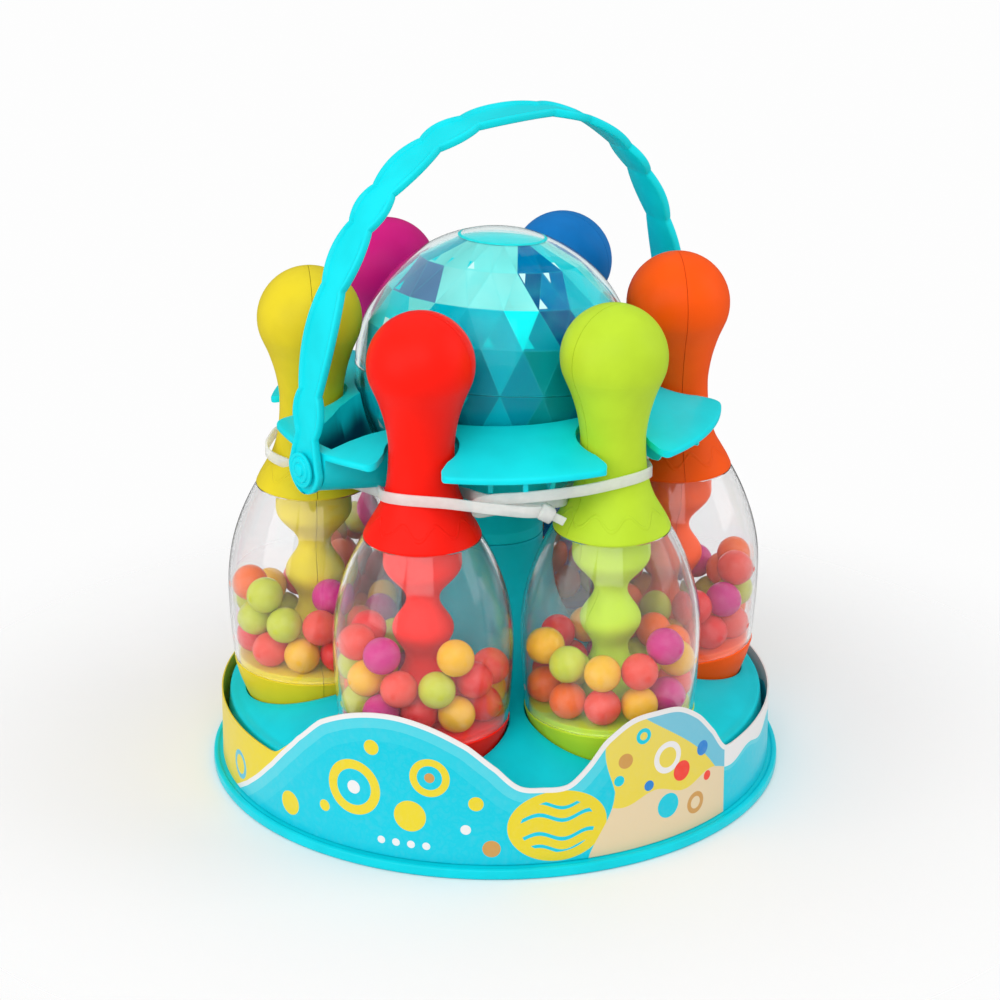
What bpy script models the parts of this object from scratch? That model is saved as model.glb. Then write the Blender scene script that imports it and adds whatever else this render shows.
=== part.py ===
# Toy bowling set: six bead-filled pins and a faceted ball, stowed in a round carrier with a swing handle.
# Units are metres, +Z is up, and the origin is the middle of the footprint on the table.
# The handle turns about the X axis, and its two ends lie on -X and +X.

import math

import bmesh
import bpy
from mathutils import Matrix, Vector

# Fits that hold all over the set
FIT_GAP = 0.0003  # left between pieces that touch
RUN_GAP = 0.0004  # round a shaft that turns in a hole
OVERRUN = 0.004  # how far a cutter passes what it cuts
MERGE = 0.000002  # points closer than this are one

FULL_TURN = 2 * math.pi
SMOOTH_BELOW = math.radians(38)

# Where the pins stand
PIN_NAMES = ("blue", "magenta", "yellow", "red", "green", "orange")
PIN_FIRST_ANGLE = math.radians(30)
PIN_STEP = FULL_TURN / len(PIN_NAMES)
PIN_STAND_OFF = 0.0190  # from the ball's equator out to the pins' axes
BALL_RADIUS = 0.0607
PIN_RING_RADIUS = BALL_RADIUS + PIN_STAND_OFF
HANDLE_LOBES = (0, 3)  # counted from +X, one lobe between each two pins

# Pin: heights are measured from its own base
PIN_HEIGHT = 0.2018
PIN_SEAT_HEIGHT = 0.0280
PIN_SEGMENTS = 12
HEAD_RADIUS = 0.0223
NECK_RADIUS = 0.0137
NECK_DROP = 0.0598  # from the crown down to the neck
SKIRT_DROP = 0.0367
SKIRT_RADIUS = 0.0246
SPINDLE_TOP_RADIUS = 0.0160
UPPER_BULB_RADIUS = 0.0165
UPPER_WAIST_RADIUS = 0.0069
LOWER_BULB_RADIUS = 0.0130
LOWER_WAIST_RADIUS = 0.0075
MOUND_RADIUS = 0.0170
CAP_FLOOR_HEIGHT = 0.0270
CAP_STEP_HEIGHT = 0.0242
NECK_HEIGHT = PIN_HEIGHT - NECK_DROP
SKIRT_HEIGHT = NECK_HEIGHT - SKIRT_DROP
CAP_RADIUS = 0.0365
CAP_BASE_RADIUS = 0.0280
CAP_BASE_ROUND = 0.0012
CORE_WALL = 0.0018
SHELL_WALL = 0.0016
SHELL_RIM_RADIUS = 0.0248
SHELL_BELLY_RADIUS = 0.0382
SHELL_FOOT_RADIUS = 0.0362

# Shares of the way down, and of the change of radius, along two curves of the pin
HEAD_END_ANGLE = math.radians(-25)
NECK_TAPER_SHARES = ((0.21, 0.385), (0.55, 0.82))
SKIRT_FLARE_SHARES = ((0.41, 0.12), (0.70, 0.50))
CAP_TAPER_SHARE = (0.52, 0.42)
SPINDLE_SHARES = (0.8429, 0.6386, 0.4661, 0.3027, 0.0383)
SHELL_BELLY_SHARE = 0.4242
SHELL_UPPER_SHARES = (1.0, 0.75, 0.50, 0.0)
SHELL_LOWER_SHARES = (0.60, 1.0)
SHELL_INSIDE_UPPER_SHARES = (1.0, 0.60, 0.0)
SHELL_INSIDE_LOWER_SHARES = (1.0,)

# Beads in each pin: a full ring on the floor of the cap, and some in the dips above it
BEAD_RADIUS = 0.0076
BEAD_SINK = 0.0003
BEAD_RING_COUNT = 11
BEAD_SWELL_SHARE = 1.08
UPPER_BEADS = {
    "blue": (0, 4, 8),
    "magenta": (1, 5, 9),
    "yellow": (0, 3, 7),
    "red": (0, 1, 9),
    "green": (4, 9, 10),
    "orange": (1, 2, 6),
}

# Tray that the pins stand in: a base ring, the deck with its cups, and a column
RIM_MARGIN = 0.0388  # from the pins' axes out to the rim
WALL_DRAFT = 0.0027
FLANGE_WIDTH = 0.0063
LIP_HEIGHT = 0.0048
RIM_RISE = 0.0070  # from the pins' seats up to the rim
RIM_ROUND = 0.0030
TRAY_WALL = 0.0022
TRAY_SEGMENTS = 30
COLUMN_RADIUS = 0.0209
PLATEAU_MARGIN = 0.0073  # from the pins' axes out to the edge of the plateau
PLATEAU_RISE = 0.0180
SHOULDER_INSET = 0.0197  # from the pins' axes in to the shoulder
SHOULDER_RISE = 0.0220
CUP_CLEARANCE = 0.0008
CUP_SEGMENTS = 12
FLARE_SHARES = ((0.05, 0.24), (0.16, 0.52), (0.46, 0.83))
RIM_RADIUS = PIN_RING_RADIUS + RIM_MARGIN
WALL_FOOT_RADIUS = RIM_RADIUS + WALL_DRAFT
FLANGE_RADIUS = WALL_FOOT_RADIUS + FLANGE_WIDTH
PLATEAU_RADIUS = PIN_RING_RADIUS + PLATEAU_MARGIN
SHOULDER_RADIUS = PIN_RING_RADIUS - SHOULDER_INSET
RIM_HEIGHT = PIN_SEAT_HEIGHT + RIM_RISE
PLATEAU_HEIGHT = PIN_SEAT_HEIGHT + PLATEAU_RISE
SHOULDER_HEIGHT = PIN_SEAT_HEIGHT + SHOULDER_RISE

# Upper carrier: the cradle of the ball and the ring with its six lobes
RING_RISE_OVER_NECK = 0.0066  # from the pins' necks up to the ring's inner edge
CRADLE_GAP = 0.0003
CRADLE_WALL = 0.0026
CRADLE_FLOOR = 0.0139  # between the ball and the foot of the carrier
CARRIER_SEGMENTS = 30
BOWL_START_ANGLE = math.radians(-66)
RING_DROP_UNDER_BALL = 0.0053  # from the ball's middle to the ring's inner edge
RING_FALL = 0.0086
LOBE_REACH = 0.0243  # from the pins' axes out to the tips of the lobes
RING_INNER_HEIGHT = PIN_SEAT_HEIGHT + NECK_HEIGHT + RING_RISE_OVER_NECK
BALL_CENTRE = RING_INNER_HEIGHT + RING_DROP_UNDER_BALL
COLUMN_HEIGHT = BALL_CENTRE - BALL_RADIUS - CRADLE_GAP - CRADLE_FLOOR - FIT_GAP
RING_OUTER_RADIUS = PIN_RING_RADIUS + LOBE_REACH
RING_OUTER_HEIGHT = RING_INNER_HEIGHT - RING_FALL
RING_THICKNESS = 0.0030
RING_EDGE_ROUND = 0.0008
NOTCH_RADIUS = 0.0160
NOTCH_MOUTH = 0.0167
LOBE_CORNER = 0.0045
SADDLE_DROP = 0.0030
FIN_ANGLE = math.radians(9)
FIN_THICKNESS = 0.0020
FIN_INSET = 0.0090  # from the ring's edge in to the end of a fin
FIN_TIP_INSET = 0.0205
FIN_TIP_WIDTH = 0.0030
FIN_DROP = 0.0176  # from the ring's top down to the fins' tips
FIN_ROOT_DROP = 0.0146
TAB_INSET = 0.0070
TAB_LENGTH = 0.0040
TAB_DEPTH = 0.0068
FIN_REACH = RING_OUTER_RADIUS - FIN_INSET
FIN_TIP_RADIUS = RING_OUTER_RADIUS - FIN_TIP_INSET
TAB_RADIUS = RING_OUTER_RADIUS - TAB_INSET

# Troughs that carry the handle
PIVOT_DROP = 0.0190  # from the ring's inner edge down to the pivots
FACE_INSET = 0.0071  # from the ring's edge in to the troughs' outer faces
ROOT_INSET = 0.0047
TROUGH_ROOT_RADIUS = 0.0172
BOSS_RADIUS = 0.0100
BOSS_LIP_RISE = 0.0080
PIVOT_HEIGHT = RING_INNER_HEIGHT - PIVOT_DROP
TROUGH_FACE = RING_OUTER_RADIUS - FACE_INSET
TROUGH_ROOT = BALL_RADIUS - ROOT_INSET
BOSS_LIP_HEIGHT = PIVOT_HEIGHT + BOSS_LIP_RISE
TROUGH_WALL = 0.0024
TROUGH_END_WALL = 0.0040
TROUGH_SEGMENTS = 20

# Handle
HANDLE_GAP = 0.0007  # between the strap and the troughs' faces
HANDLE_RISE = 0.1382
HANDLE_POWER = 2.3
HANDLE_LEAN = math.radians(3.5)
STRAP_THICKNESS = 0.0036
HANDLE_HALF_SPAN = TROUGH_FACE + HANDLE_GAP + STRAP_THICKNESS / 2
STRAP_BULGE = 0.0092
STRAP_WAIST = 0.0066
STRAP_BEAD = 0.0018
STRAP_RECESS = 0.0007
HANDLE_EYE_RADIUS = 0.0108
WAIST_ANGLES = (4.5, 11.5, 31.0, 44.5, 54.0, 69.5, 81.0)
LONG_BULGE_ANGLE = 12  # a longer bulge is drawn in more steps
TANGENT_ANGLE = math.radians(0.5)
BULGE_POWER = 0.7
EYE_SHARES = (0.96, 0.75, 0.45, 0.15)

# Pins that the handle turns on
PIVOT_RADIUS = 0.0040
PIVOT_HEAD_RADIUS = 0.0075
PIVOT_HEAD_THICKNESS = 0.0010
PIVOT_RING_RADIUS = 0.0050
PIVOT_DOME_RADIUS = 0.0022
PIVOT_RING_STEP = 0.0006
PIVOT_BARB_RADIUS = 0.0050
PIVOT_BARB_LENGTH = 0.0030
PIVOT_SEGMENTS = 12

# Ball
BALL_WALL = 0.0022
BALL_SEAM_RISE = 0.0070
BALL_SEGMENTS = 24
LINER_GAP = 0.0012
LINER_WALL = 0.0014
LINER_UPPER_FACETS = 16
LINER_LOWER_FACETS = 12
TOP_DISC_RADIUS = 0.0184
TOP_DISC_THICKNESS = 0.0012
LINER_UPPER_LATITUDES = (71.0, 55.0, 38.0, 22.0)
LINER_LOWER_LATITUDES = (-14.0, -38.0, -62.0)

# Printed card round the tray
CARD_THICKNESS = 0.0006
CARD_STAND_OFF = 0.0008  # from the foot of the tray's wall to the card
CARD_LEAN = 0.0006
CARD_BAND_RISE = 0.0002  # from the rim up to the card's top where it is level
CARD_LEFT_RISE = 0.0348
CARD_RIGHT_RISE = 0.0303
CARD_VALLEY_RISE = 0.0048
CARD_BAND_HEIGHT = RIM_HEIGHT + CARD_BAND_RISE
CARD_LEFT_PEAK = CARD_BAND_HEIGHT + CARD_LEFT_RISE
CARD_RIGHT_PEAK = CARD_BAND_HEIGHT + CARD_RIGHT_RISE
CARD_VALLEY = CARD_BAND_HEIGHT + CARD_VALLEY_RISE
CARD_RADIUS = WALL_FOOT_RADIUS + CARD_STAND_OFF + CARD_THICKNESS
# Angle round the tray and share of the rise from the band to the peak
CARD_LEFT_SHARES = (
    (183, 0.0), (186, 0.20), (190, 0.42), (196, 0.74), (204, 0.93),
    (211, 1.0), (219, 0.92), (227, 0.71), (233, 0.42),
)
CARD_RIGHT_SHARES = (
    (250, 0.38), (254, 0.73), (260, 0.95), (266, 1.0),
    (272, 0.94), (277, 0.72), (281, 0.42), (284.5, 0.0),
)
CARD_VALLEY_ANGLES = (238, 243, 248.5)
CARD_STEP_ANGLE = 7.5

# Nylon ties that hold the pins in for shipping
TIE_WIDTH = 0.0048
TIE_THICKNESS = 0.0012
TIE_GAP = 0.0006
TIE_STEPS = 2
TIE_DROP = 0.0090  # from the ring's outer edge down to the highest place on a tie
TIE_SPREAD = 0.0165
TIE_INNER_INSET = 0.0252
TIE_OUTER_MARGIN = 0.0163
TIE_HIGH = RING_OUTER_HEIGHT - TIE_DROP
TIE_LOW = TIE_HIGH - TIE_SPREAD
TIE_INNER_RADIUS = PIN_RING_RADIUS - TIE_INNER_INSET
TIE_OUTER_RADIUS = PIN_RING_RADIUS + TIE_OUTER_MARGIN
TIE_LOCK_LENGTH = 0.0075
TIE_LOCK_DEPTH = 0.0050
TIE_LOCK_HEIGHT = 0.0062
TIE_TAIL = 0.0130

# Corners of each tie, once round. Beside a pin: its name, the direction from its axis, the share of the height.
# Between pins: the angle round the set, the share of the radius, the share of the height.
TIE_ROUTE_SHARES = {
    "left": (
        ("yellow", 30, 0.33), ("yellow", -15, 0.62), ("yellow", -60, 0.58), ("yellow", -105, 0.45),
        ("yellow", -150, 0.27), (180, 0.0, 0.02), ("red", 150, 0.30), (226, 0.54, 0.53), (232, 0.66, 0.53),
        (240, 0.80, 0.48), (244.5, 0.90, 0.44), (240, 0.965, 0.47), (231, 0.985, 0.58), (221, 0.995, 0.70),
        ("red", 0, 0.74), ("red", -32, 0.50), (180, 0.76, 0.0),
    ),
    "right": (
        ("green", -13, 1.0), (255, 0.965, 0.95), (241, 0.93, 0.88), (233, 0.89, 0.81), (229, 0.835, 0.69),
        (226.5, 0.75, 0.46), (227.5, 0.645, 0.22), (233, 0.53, 0.19), (241, 0.43, 0.19), ("green", -115, 0.21),
        ("green", -152, 0.21), (300, 0.0, 0.03), ("orange", 150, 0.27), ("orange", 105, 0.45),
        ("orange", 60, 0.58), ("orange", 15, 0.64), ("orange", -30, 0.60), (300, 0.76, 0.53), ("green", 30, 0.73),
    ),
    "back": (
        ("blue", 30, 0.50), (60, 0.76, 0.52), ("magenta", -30, 0.55), ("magenta", 15, 0.55), ("magenta", 60, 0.52),
        ("magenta", 105, 0.45), ("magenta", 150, 0.27), (60, 0.0, 0.03), ("blue", -150, 0.27), ("blue", -105, 0.45),
        ("blue", -60, 0.50), ("blue", -15, 0.50),
    ),
}
# Where the lock sits, and the direction its tail leaves in, measured from the outward one
TIE_LOCK_SHARES = {"left": (244.5, 0.925, 0.44, 78), "right": (241, 0.40, 0.19, 180), "back": (60, 0.80, 0.52, 40)}

# Screw that joins the carrier to the tray
SCREW_RADIUS = 0.0020
SCREW_HEAD_RADIUS = 0.0042
SCREW_HEAD_HEIGHT = 0.0026
SCREW_REACH = 0.0080
SCREW_SEGMENTS = 12

# Where a stowed pin rocks on the edge of its cup
TILT_MARGIN = 0.0315
TILT_RISE = 0.0090
TILT_HEIGHT = PIN_SEAT_HEIGHT + TILT_RISE
TILT_RADIUS = PIN_RING_RADIUS + TILT_MARGIN

COLOURS = {
    "blue": (0.003, 0.17, 0.51),
    "magenta": (0.68, 0.013, 0.24),
    "yellow": (0.83, 0.68, 0.03),
    "red": (1.0, 0.021, 0.007),
    "green": (0.51, 0.73, 0.045),
    "orange": (1.0, 0.115, 0.002),
}
TURQUOISE = (0.014, 0.76, 0.85)


def clear_scene():
    for item in list(bpy.data.objects):
        bpy.data.objects.remove(item, do_unlink=True)


def plastic(name, colour, roughness=0.35, alpha=1.0):
    made = bpy.data.materials.new(name)
    made.use_nodes = True
    shader = made.node_tree.nodes["Principled BSDF"]
    shader.inputs["Base Color"].default_value = (*colour, 1.0)
    shader.inputs["Roughness"].default_value = roughness
    shader.inputs["Metallic"].default_value = 0.0
    shader.inputs["Alpha"].default_value = alpha
    return made


def add_mesh(name, mesh_data, material, parent=None, place=(0, 0, 0), turn=0.0):
    """Closes a bmesh into an object of its own, with its faces pointing out."""
    bmesh.ops.remove_doubles(mesh_data, verts=mesh_data.verts, dist=MERGE)
    bmesh.ops.dissolve_degenerate(mesh_data, edges=mesh_data.edges, dist=MERGE)
    loose = [edge for edge in mesh_data.edges if not edge.link_faces]
    bmesh.ops.delete(mesh_data, geom=loose, context="EDGES")
    bmesh.ops.recalc_face_normals(mesh_data, faces=mesh_data.faces)
    mesh = bpy.data.meshes.new(name)
    mesh_data.to_mesh(mesh)
    mesh_data.free()
    mesh.shade_smooth()
    mesh.set_sharp_from_angle(angle=SMOOTH_BELOW)
    mesh.materials.append(material)
    item = bpy.data.objects.new(name, mesh)
    bpy.context.collection.objects.link(item)
    item.parent = parent
    item.location = place
    item.rotation_euler = (0, 0, turn)
    return item


def add_empty(name, place, turn=(0, 0, 0)):
    item = bpy.data.objects.new(name, None)
    bpy.context.collection.objects.link(item)
    item.location = place
    item.rotation_euler = turn
    return item


def spun(outline, steps, arc=FULL_TURN, start=0.0):
    """Turns a closed outline of (radius, height) points about Z, and caps the ends of a part turn."""
    made = bmesh.new()
    turned = Matrix.Rotation(start, 3, "Z")
    ring = [made.verts.new(turned @ Vector((radius, 0, height))) for radius, height in outline]
    edges = [made.edges.new(pair) for pair in zip(ring, ring[1:] + ring[:1])]
    whole = arc == FULL_TURN
    result = bmesh.ops.spin(
        made, geom=ring + edges, cent=(0, 0, 0), axis=(0, 0, 1), angle=arc, steps=steps, use_merge=whole
    )
    if not whole:
        last = [item for item in result["geom_last"] if isinstance(item, bmesh.types.BMVert)]
        made.faces.new(ring)
        made.faces.new(last)
    return made


def prism(outline, low, high):
    """Stands a closed plan outline of (x, y) points up between two heights."""
    made = bmesh.new()
    floor = made.faces.new([made.verts.new((x, y, low)) for x, y in outline])
    raised = bmesh.ops.extrude_face_region(made, geom=[floor])
    lifted = [item for item in raised["geom"] if isinstance(item, bmesh.types.BMVert)]
    bmesh.ops.translate(made, verts=lifted, vec=(0, 0, high - low))
    return made


def lofted(sections, closed=False):
    """Joins rings of points, each with as many points, into one skin."""
    made = bmesh.new()
    rings = [[made.verts.new(point) for point in section] for section in sections]
    pairs = list(zip(rings, rings[1:]))
    if closed:
        pairs.append((rings[-1], rings[0]))
    for one, other in pairs:
        for index in range(len(one)):
            after = (index + 1) % len(one)
            made.faces.new((one[index], one[after], other[after], other[index]))
    if not closed:
        made.faces.new(rings[0])
        made.faces.new(rings[-1])
    return made


def combine(target, tool, operation):
    """Cuts or joins a tool that is kept as a hidden guide."""
    tool.hide_render = True
    tool.display_type = "WIRE"
    step = target.modifiers.new(operation.lower() + "_" + tool.name, "BOOLEAN")
    step.operation = operation
    step.solver = "EXACT"
    step.object = tool


def arc_points(centre_radius, centre_height, radius, start, end, count):
    return [
        (centre_radius + radius * math.cos(angle), centre_height + radius * math.sin(angle))
        for angle in (start + (end - start) * index / (count - 1) for index in range(count))
    ]


def between(start, end, share):
    return start + (end - start) * share


def along(start, end, shares):
    """Points between two (radius, height) ends, from shares of the way down and of the radius."""
    return [(between(start[0], end[0], out), between(start[1], end[1], down)) for down, out in shares]


def swell(start, end, steps):
    """A smooth S between two turning points of a turned profile."""
    points = []
    for index in range(1, steps + 1):
        share = index / steps
        points.append((between(start[0], end[0], (1 - math.cos(math.pi * share)) / 2), between(start[1], end[1], share)))
    return points


def at(angle, radius, height=0.0):
    return Vector((radius * math.cos(angle), radius * math.sin(angle), height))


def pin_angle(index):
    return PIN_FIRST_ANGLE + index * PIN_STEP


def lobe_angle(index):
    return index * PIN_STEP


# Profiles of the pin

HEAD_CENTRE = PIN_HEIGHT - HEAD_RADIUS
HEAD_END = (HEAD_RADIUS * math.cos(HEAD_END_ANGLE), HEAD_CENTRE + HEAD_RADIUS * math.sin(HEAD_END_ANGLE))
UPPER_BULB_HEIGHT, UPPER_WAIST_HEIGHT, LOWER_BULB_HEIGHT, LOWER_WAIST_HEIGHT, MOUND_HEIGHT = (
    between(CAP_FLOOR_HEIGHT, SKIRT_HEIGHT, share) for share in SPINDLE_SHARES
)
SHELL_BELLY_HEIGHT = between(CAP_STEP_HEIGHT, SKIRT_HEIGHT, SHELL_BELLY_SHARE)
SPINDLE_TURNS = (
    (SPINDLE_TOP_RADIUS, SKIRT_HEIGHT),
    (UPPER_BULB_RADIUS, UPPER_BULB_HEIGHT),
    (UPPER_WAIST_RADIUS, UPPER_WAIST_HEIGHT),
    (LOWER_BULB_RADIUS, LOWER_BULB_HEIGHT),
    (LOWER_WAIST_RADIUS, LOWER_WAIST_HEIGHT),
    (MOUND_RADIUS, MOUND_HEIGHT),
)
SPINDLE_STEPS = (1, 2, 2, 2, 2)


def cap_side():
    start = (CAP_RADIUS, CAP_STEP_HEIGHT)
    end = (CAP_BASE_RADIUS, CAP_BASE_ROUND)
    return [start] + along(start, end, (CAP_TAPER_SHARE,)) + [end]


def core_outline():
    """Outside of the coloured core from its crown down to its base, then back up its hollow."""
    inner_foot = SHELL_FOOT_RADIUS - SHELL_WALL - FIT_GAP
    points = arc_points(0, HEAD_CENTRE, HEAD_RADIUS, math.pi / 2, HEAD_END_ANGLE, 6)
    points[0] = (0, PIN_HEIGHT)
    points += along(HEAD_END, (NECK_RADIUS, NECK_HEIGHT), NECK_TAPER_SHARES)
    points += [(NECK_RADIUS, NECK_HEIGHT)]
    points += along((NECK_RADIUS, NECK_HEIGHT), (SKIRT_RADIUS, SKIRT_HEIGHT), SKIRT_FLARE_SHARES)
    points += [(SKIRT_RADIUS, SKIRT_HEIGHT), SPINDLE_TURNS[0]]
    for start, end, steps in zip(SPINDLE_TURNS, SPINDLE_TURNS[1:], SPINDLE_STEPS):
        points += swell(start, end, steps)
    points += [(MOUND_RADIUS, CAP_FLOOR_HEIGHT), (inner_foot, CAP_FLOOR_HEIGHT), (inner_foot, CAP_STEP_HEIGHT)]
    points += cap_side()
    points += [(CAP_BASE_RADIUS - CAP_BASE_ROUND, 0), (0, 0)]
    hollow = [
        (0, CORE_WALL),
        (CAP_BASE_RADIUS - CAP_BASE_ROUND - CORE_WALL, CORE_WALL),
        (inner_foot - CORE_WALL, CAP_FLOOR_HEIGHT - 2 * CORE_WALL),
        (MOUND_RADIUS - CORE_WALL, CAP_FLOOR_HEIGHT - CORE_WALL),
    ]
    bore = UPPER_WAIST_RADIUS - CORE_WALL
    hollow += [(bore, LOWER_WAIST_HEIGHT), (bore, UPPER_WAIST_HEIGHT)]
    hollow += [(UPPER_BULB_RADIUS - CORE_WALL, UPPER_BULB_HEIGHT), (NECK_RADIUS - CORE_WALL, NECK_HEIGHT)]
    hollow += arc_points(0, HEAD_CENTRE, HEAD_RADIUS - CORE_WALL, HEAD_END_ANGLE, math.pi / 2, 4)[:-1]
    hollow += [(0, PIN_HEIGHT - CORE_WALL)]
    return points + hollow


def shell_curve(inset, upper_shares, lower_shares):
    """Radius and height down the clear shell, from its rim under the skirt to its foot on the cap."""
    rim_height = SKIRT_HEIGHT - FIT_GAP
    foot_height = CAP_STEP_HEIGHT + FIT_GAP
    points = []
    for share in upper_shares:
        radius = between(SHELL_RIM_RADIUS, SHELL_BELLY_RADIUS, 1 - share * share)
        points.append((radius - inset, between(SHELL_BELLY_HEIGHT, rim_height, share)))
    for share in lower_shares:
        radius = between(SHELL_FOOT_RADIUS, SHELL_BELLY_RADIUS, 1 - share * share)
        points.append((radius - inset, between(SHELL_BELLY_HEIGHT, foot_height, share)))
    return points


def shell_outline():
    inside = shell_curve(SHELL_WALL, SHELL_INSIDE_UPPER_SHARES, SHELL_INSIDE_LOWER_SHARES)
    return shell_curve(0, SHELL_UPPER_SHARES, SHELL_LOWER_SHARES) + list(reversed(inside))


def skirt_radius(height):
    """Radius of the skirt at a height over the table, for what is tied round it."""
    rise = height - PIN_SEAT_HEIGHT
    curve = [(0.0, 0.0), *SKIRT_FLARE_SHARES, (1.0, 1.0)]
    down = min(max((NECK_HEIGHT - rise) / (NECK_HEIGHT - SKIRT_HEIGHT), 0.0), 1.0)
    for (low, inner), (high, outer) in zip(curve, curve[1:]):
        if down <= high:
            share = between(inner, outer, (down - low) / (high - low))
            return between(NECK_RADIUS, SKIRT_RADIUS, share)
    return SKIRT_RADIUS


def bead_places(slots):
    """Centres of the beads: a ring that lies on the floor, and some in the dips between them."""
    ring_radius = (BEAD_RADIUS - BEAD_SINK) / math.sin(math.pi / BEAD_RING_COUNT)
    spacing = 2 * (BEAD_RADIUS - BEAD_SINK)
    floor = CAP_FLOOR_HEIGHT + FIT_GAP + BEAD_CORNER_RADIUS
    rise = math.sqrt(spacing * spacing - (spacing / 2) ** 2)
    step = FULL_TURN / BEAD_RING_COUNT
    places = [(index * step, ring_radius, floor) for index in range(BEAD_RING_COUNT)]
    places += [((slot + 0.5) * step, ring_radius, floor + rise) for slot in slots]
    return places


# Turns a bead of twenty facets so that its corners meet those of the beads beside it
CORNER_TO_CORNER = Matrix(((0, 1, 0), (0, 0, 1), (1, 0, 0))).to_4x4()
# A faceted bead stands out a little at its corners, which makes up for its flat sides
BEAD_CORNER_RADIUS = BEAD_RADIUS * BEAD_SWELL_SHARE


def add_beads(name, slots, material, parent, place):
    parts = []
    for number, (angle, radius, height) in enumerate(bead_places(slots)):
        made = bmesh.new()
        place_bead = Matrix.Translation(at(angle, radius, height)) @ Matrix.Rotation(angle, 4, "Z")
        turned = place_bead @ CORNER_TO_CORNER
        bmesh.ops.create_icosphere(made, subdivisions=1, radius=BEAD_CORNER_RADIUS, matrix=turned)
        label = name if number == 0 else name + "_guide_" + str(number)
        parts.append(add_mesh(label, made, material, parent, place))
    for guide in parts[1:]:
        combine(parts[0], guide, "UNION")
    return parts[0]


def add_pin(index, name):
    angle = pin_angle(index)
    colour = COLOURS[name]
    tilt = add_empty("pin_" + name + "_tilt", at(angle, TILT_RADIUS, TILT_HEIGHT), (0, 0, angle))
    offset = PIN_RING_RADIUS - TILT_RADIUS
    base = PIN_SEAT_HEIGHT - TILT_HEIGHT
    core = plastic("pin_" + name, colour, 0.45)
    clear = plastic("pin_" + name + "_clear", (0.95, 0.97, 0.98), 0.06, 0.25)
    beads = plastic("pin_" + name + "_beads", (0.9, 0.35, 0.12), 0.3)
    half_steps = PIN_SEGMENTS // 2
    for side, start, shift in (("outer", -math.pi / 2, FIT_GAP / 2), ("inner", math.pi / 2, -FIT_GAP / 2)):
        place = (offset + shift, 0, base)
        stem = "pin_" + name
        add_mesh(stem + "_core_" + side, spun(core_outline(), half_steps, math.pi, start), core, tilt, place)
        add_mesh(stem + "_shell_" + side, spun(shell_outline(), half_steps, math.pi, start), clear, tilt, place)
    add_beads("pin_" + name + "_beads", UPPER_BEADS[name], beads, tilt, (offset, 0, base))


# Tray

def deck_floor():
    """Underside of the cups' floors, where the deck stands on the base ring."""
    return PIN_SEAT_HEIGHT - FIT_GAP - TRAY_WALL


def wall_radius(height):
    share = (height - LIP_HEIGHT) / (RIM_HEIGHT - RIM_ROUND / 2 - LIP_HEIGHT)
    return between(WALL_FOOT_RADIUS, RIM_RADIUS, share)


def flare_points():
    """Curve from the column down to the deck, as (radius, height) from the top."""
    return [
        (between(COLUMN_RADIUS, SHOULDER_RADIUS, out), between(COLUMN_HEIGHT, SHOULDER_HEIGHT, down))
        for out, down in FLARE_SHARES
    ]


def ring_outline():
    """Cross-section of the base ring: its flange and the lower part of the wall."""
    top = deck_floor() - FIT_GAP
    edge = RIM_ROUND / 3
    return [
        (WALL_FOOT_RADIUS - TRAY_WALL, 0),
        (FLANGE_RADIUS, 0),
        (FLANGE_RADIUS, LIP_HEIGHT - edge),
        (FLANGE_RADIUS - edge, LIP_HEIGHT),
        (WALL_FOOT_RADIUS, LIP_HEIGHT),
        (wall_radius(top), top),
        (wall_radius(top) - TRAY_WALL, top),
        (WALL_FOOT_RADIUS - TRAY_WALL, LIP_HEIGHT),
    ]


def deck_outline():
    """Solid under the deck's top, from the base ring up its wall, over the plateau and in to the column."""
    low = deck_floor()
    knee = flare_points()[-1]
    return [
        (0, low),
        (wall_radius(low), low),
        (RIM_RADIUS, RIM_HEIGHT - RIM_ROUND / 2),
        (RIM_RADIUS - RIM_ROUND, RIM_HEIGHT),
        (PLATEAU_RADIUS, PLATEAU_HEIGHT),
        (SHOULDER_RADIUS, SHOULDER_HEIGHT),
        knee,
        (0, knee[1]),
    ]


def deck_under():
    """Hollow below the deck, one wall under its top and open in the middle."""
    low = deck_floor()
    knee_radius, knee_height = flare_points()[-1]
    inside = knee_radius - TRAY_WALL
    return [
        (0, low - OVERRUN),
        (wall_radius(low) - TRAY_WALL, low - OVERRUN),
        (wall_radius(low) - TRAY_WALL, low),
        (RIM_RADIUS - TRAY_WALL, RIM_HEIGHT - RIM_ROUND / 2 - TRAY_WALL),
        (PLATEAU_RADIUS, PLATEAU_HEIGHT - TRAY_WALL),
        (SHOULDER_RADIUS, SHOULDER_HEIGHT - TRAY_WALL),
        (inside, knee_height - TRAY_WALL),
        (inside, knee_height + OVERRUN),
        (0, knee_height + OVERRUN),
    ]


def column_outline():
    """Cross-section of the hollow column, which stands on the deck's inner edge."""
    foot = flare_points()[-1]
    outside = [(foot[0], foot[1] + FIT_GAP)] + list(reversed(flare_points()[:-1]))
    inside = [(radius - TRAY_WALL, height) for radius, height in reversed(outside)]
    ceiling = COLUMN_HEIGHT - TRAY_WALL
    cap = [(COLUMN_RADIUS, COLUMN_HEIGHT), (0, COLUMN_HEIGHT), (0, ceiling), (COLUMN_RADIUS - TRAY_WALL, ceiling)]
    return outside + cap + inside


def cup_outline(spare, floor, top):
    """Room for the cap of a pin, wider by the spare, and straight above it for the body of the pin."""
    side = [(radius + spare, PIN_SEAT_HEIGHT + height) for radius, height in reversed(cap_side())]
    belly = SHELL_BELLY_RADIUS + spare
    middle = PIN_SEAT_HEIGHT + SHELL_BELLY_HEIGHT / 2
    return [(0, floor), (side[0][0], floor)] + side[1:] + [(belly, middle), (belly, top), (0, top)]


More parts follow.
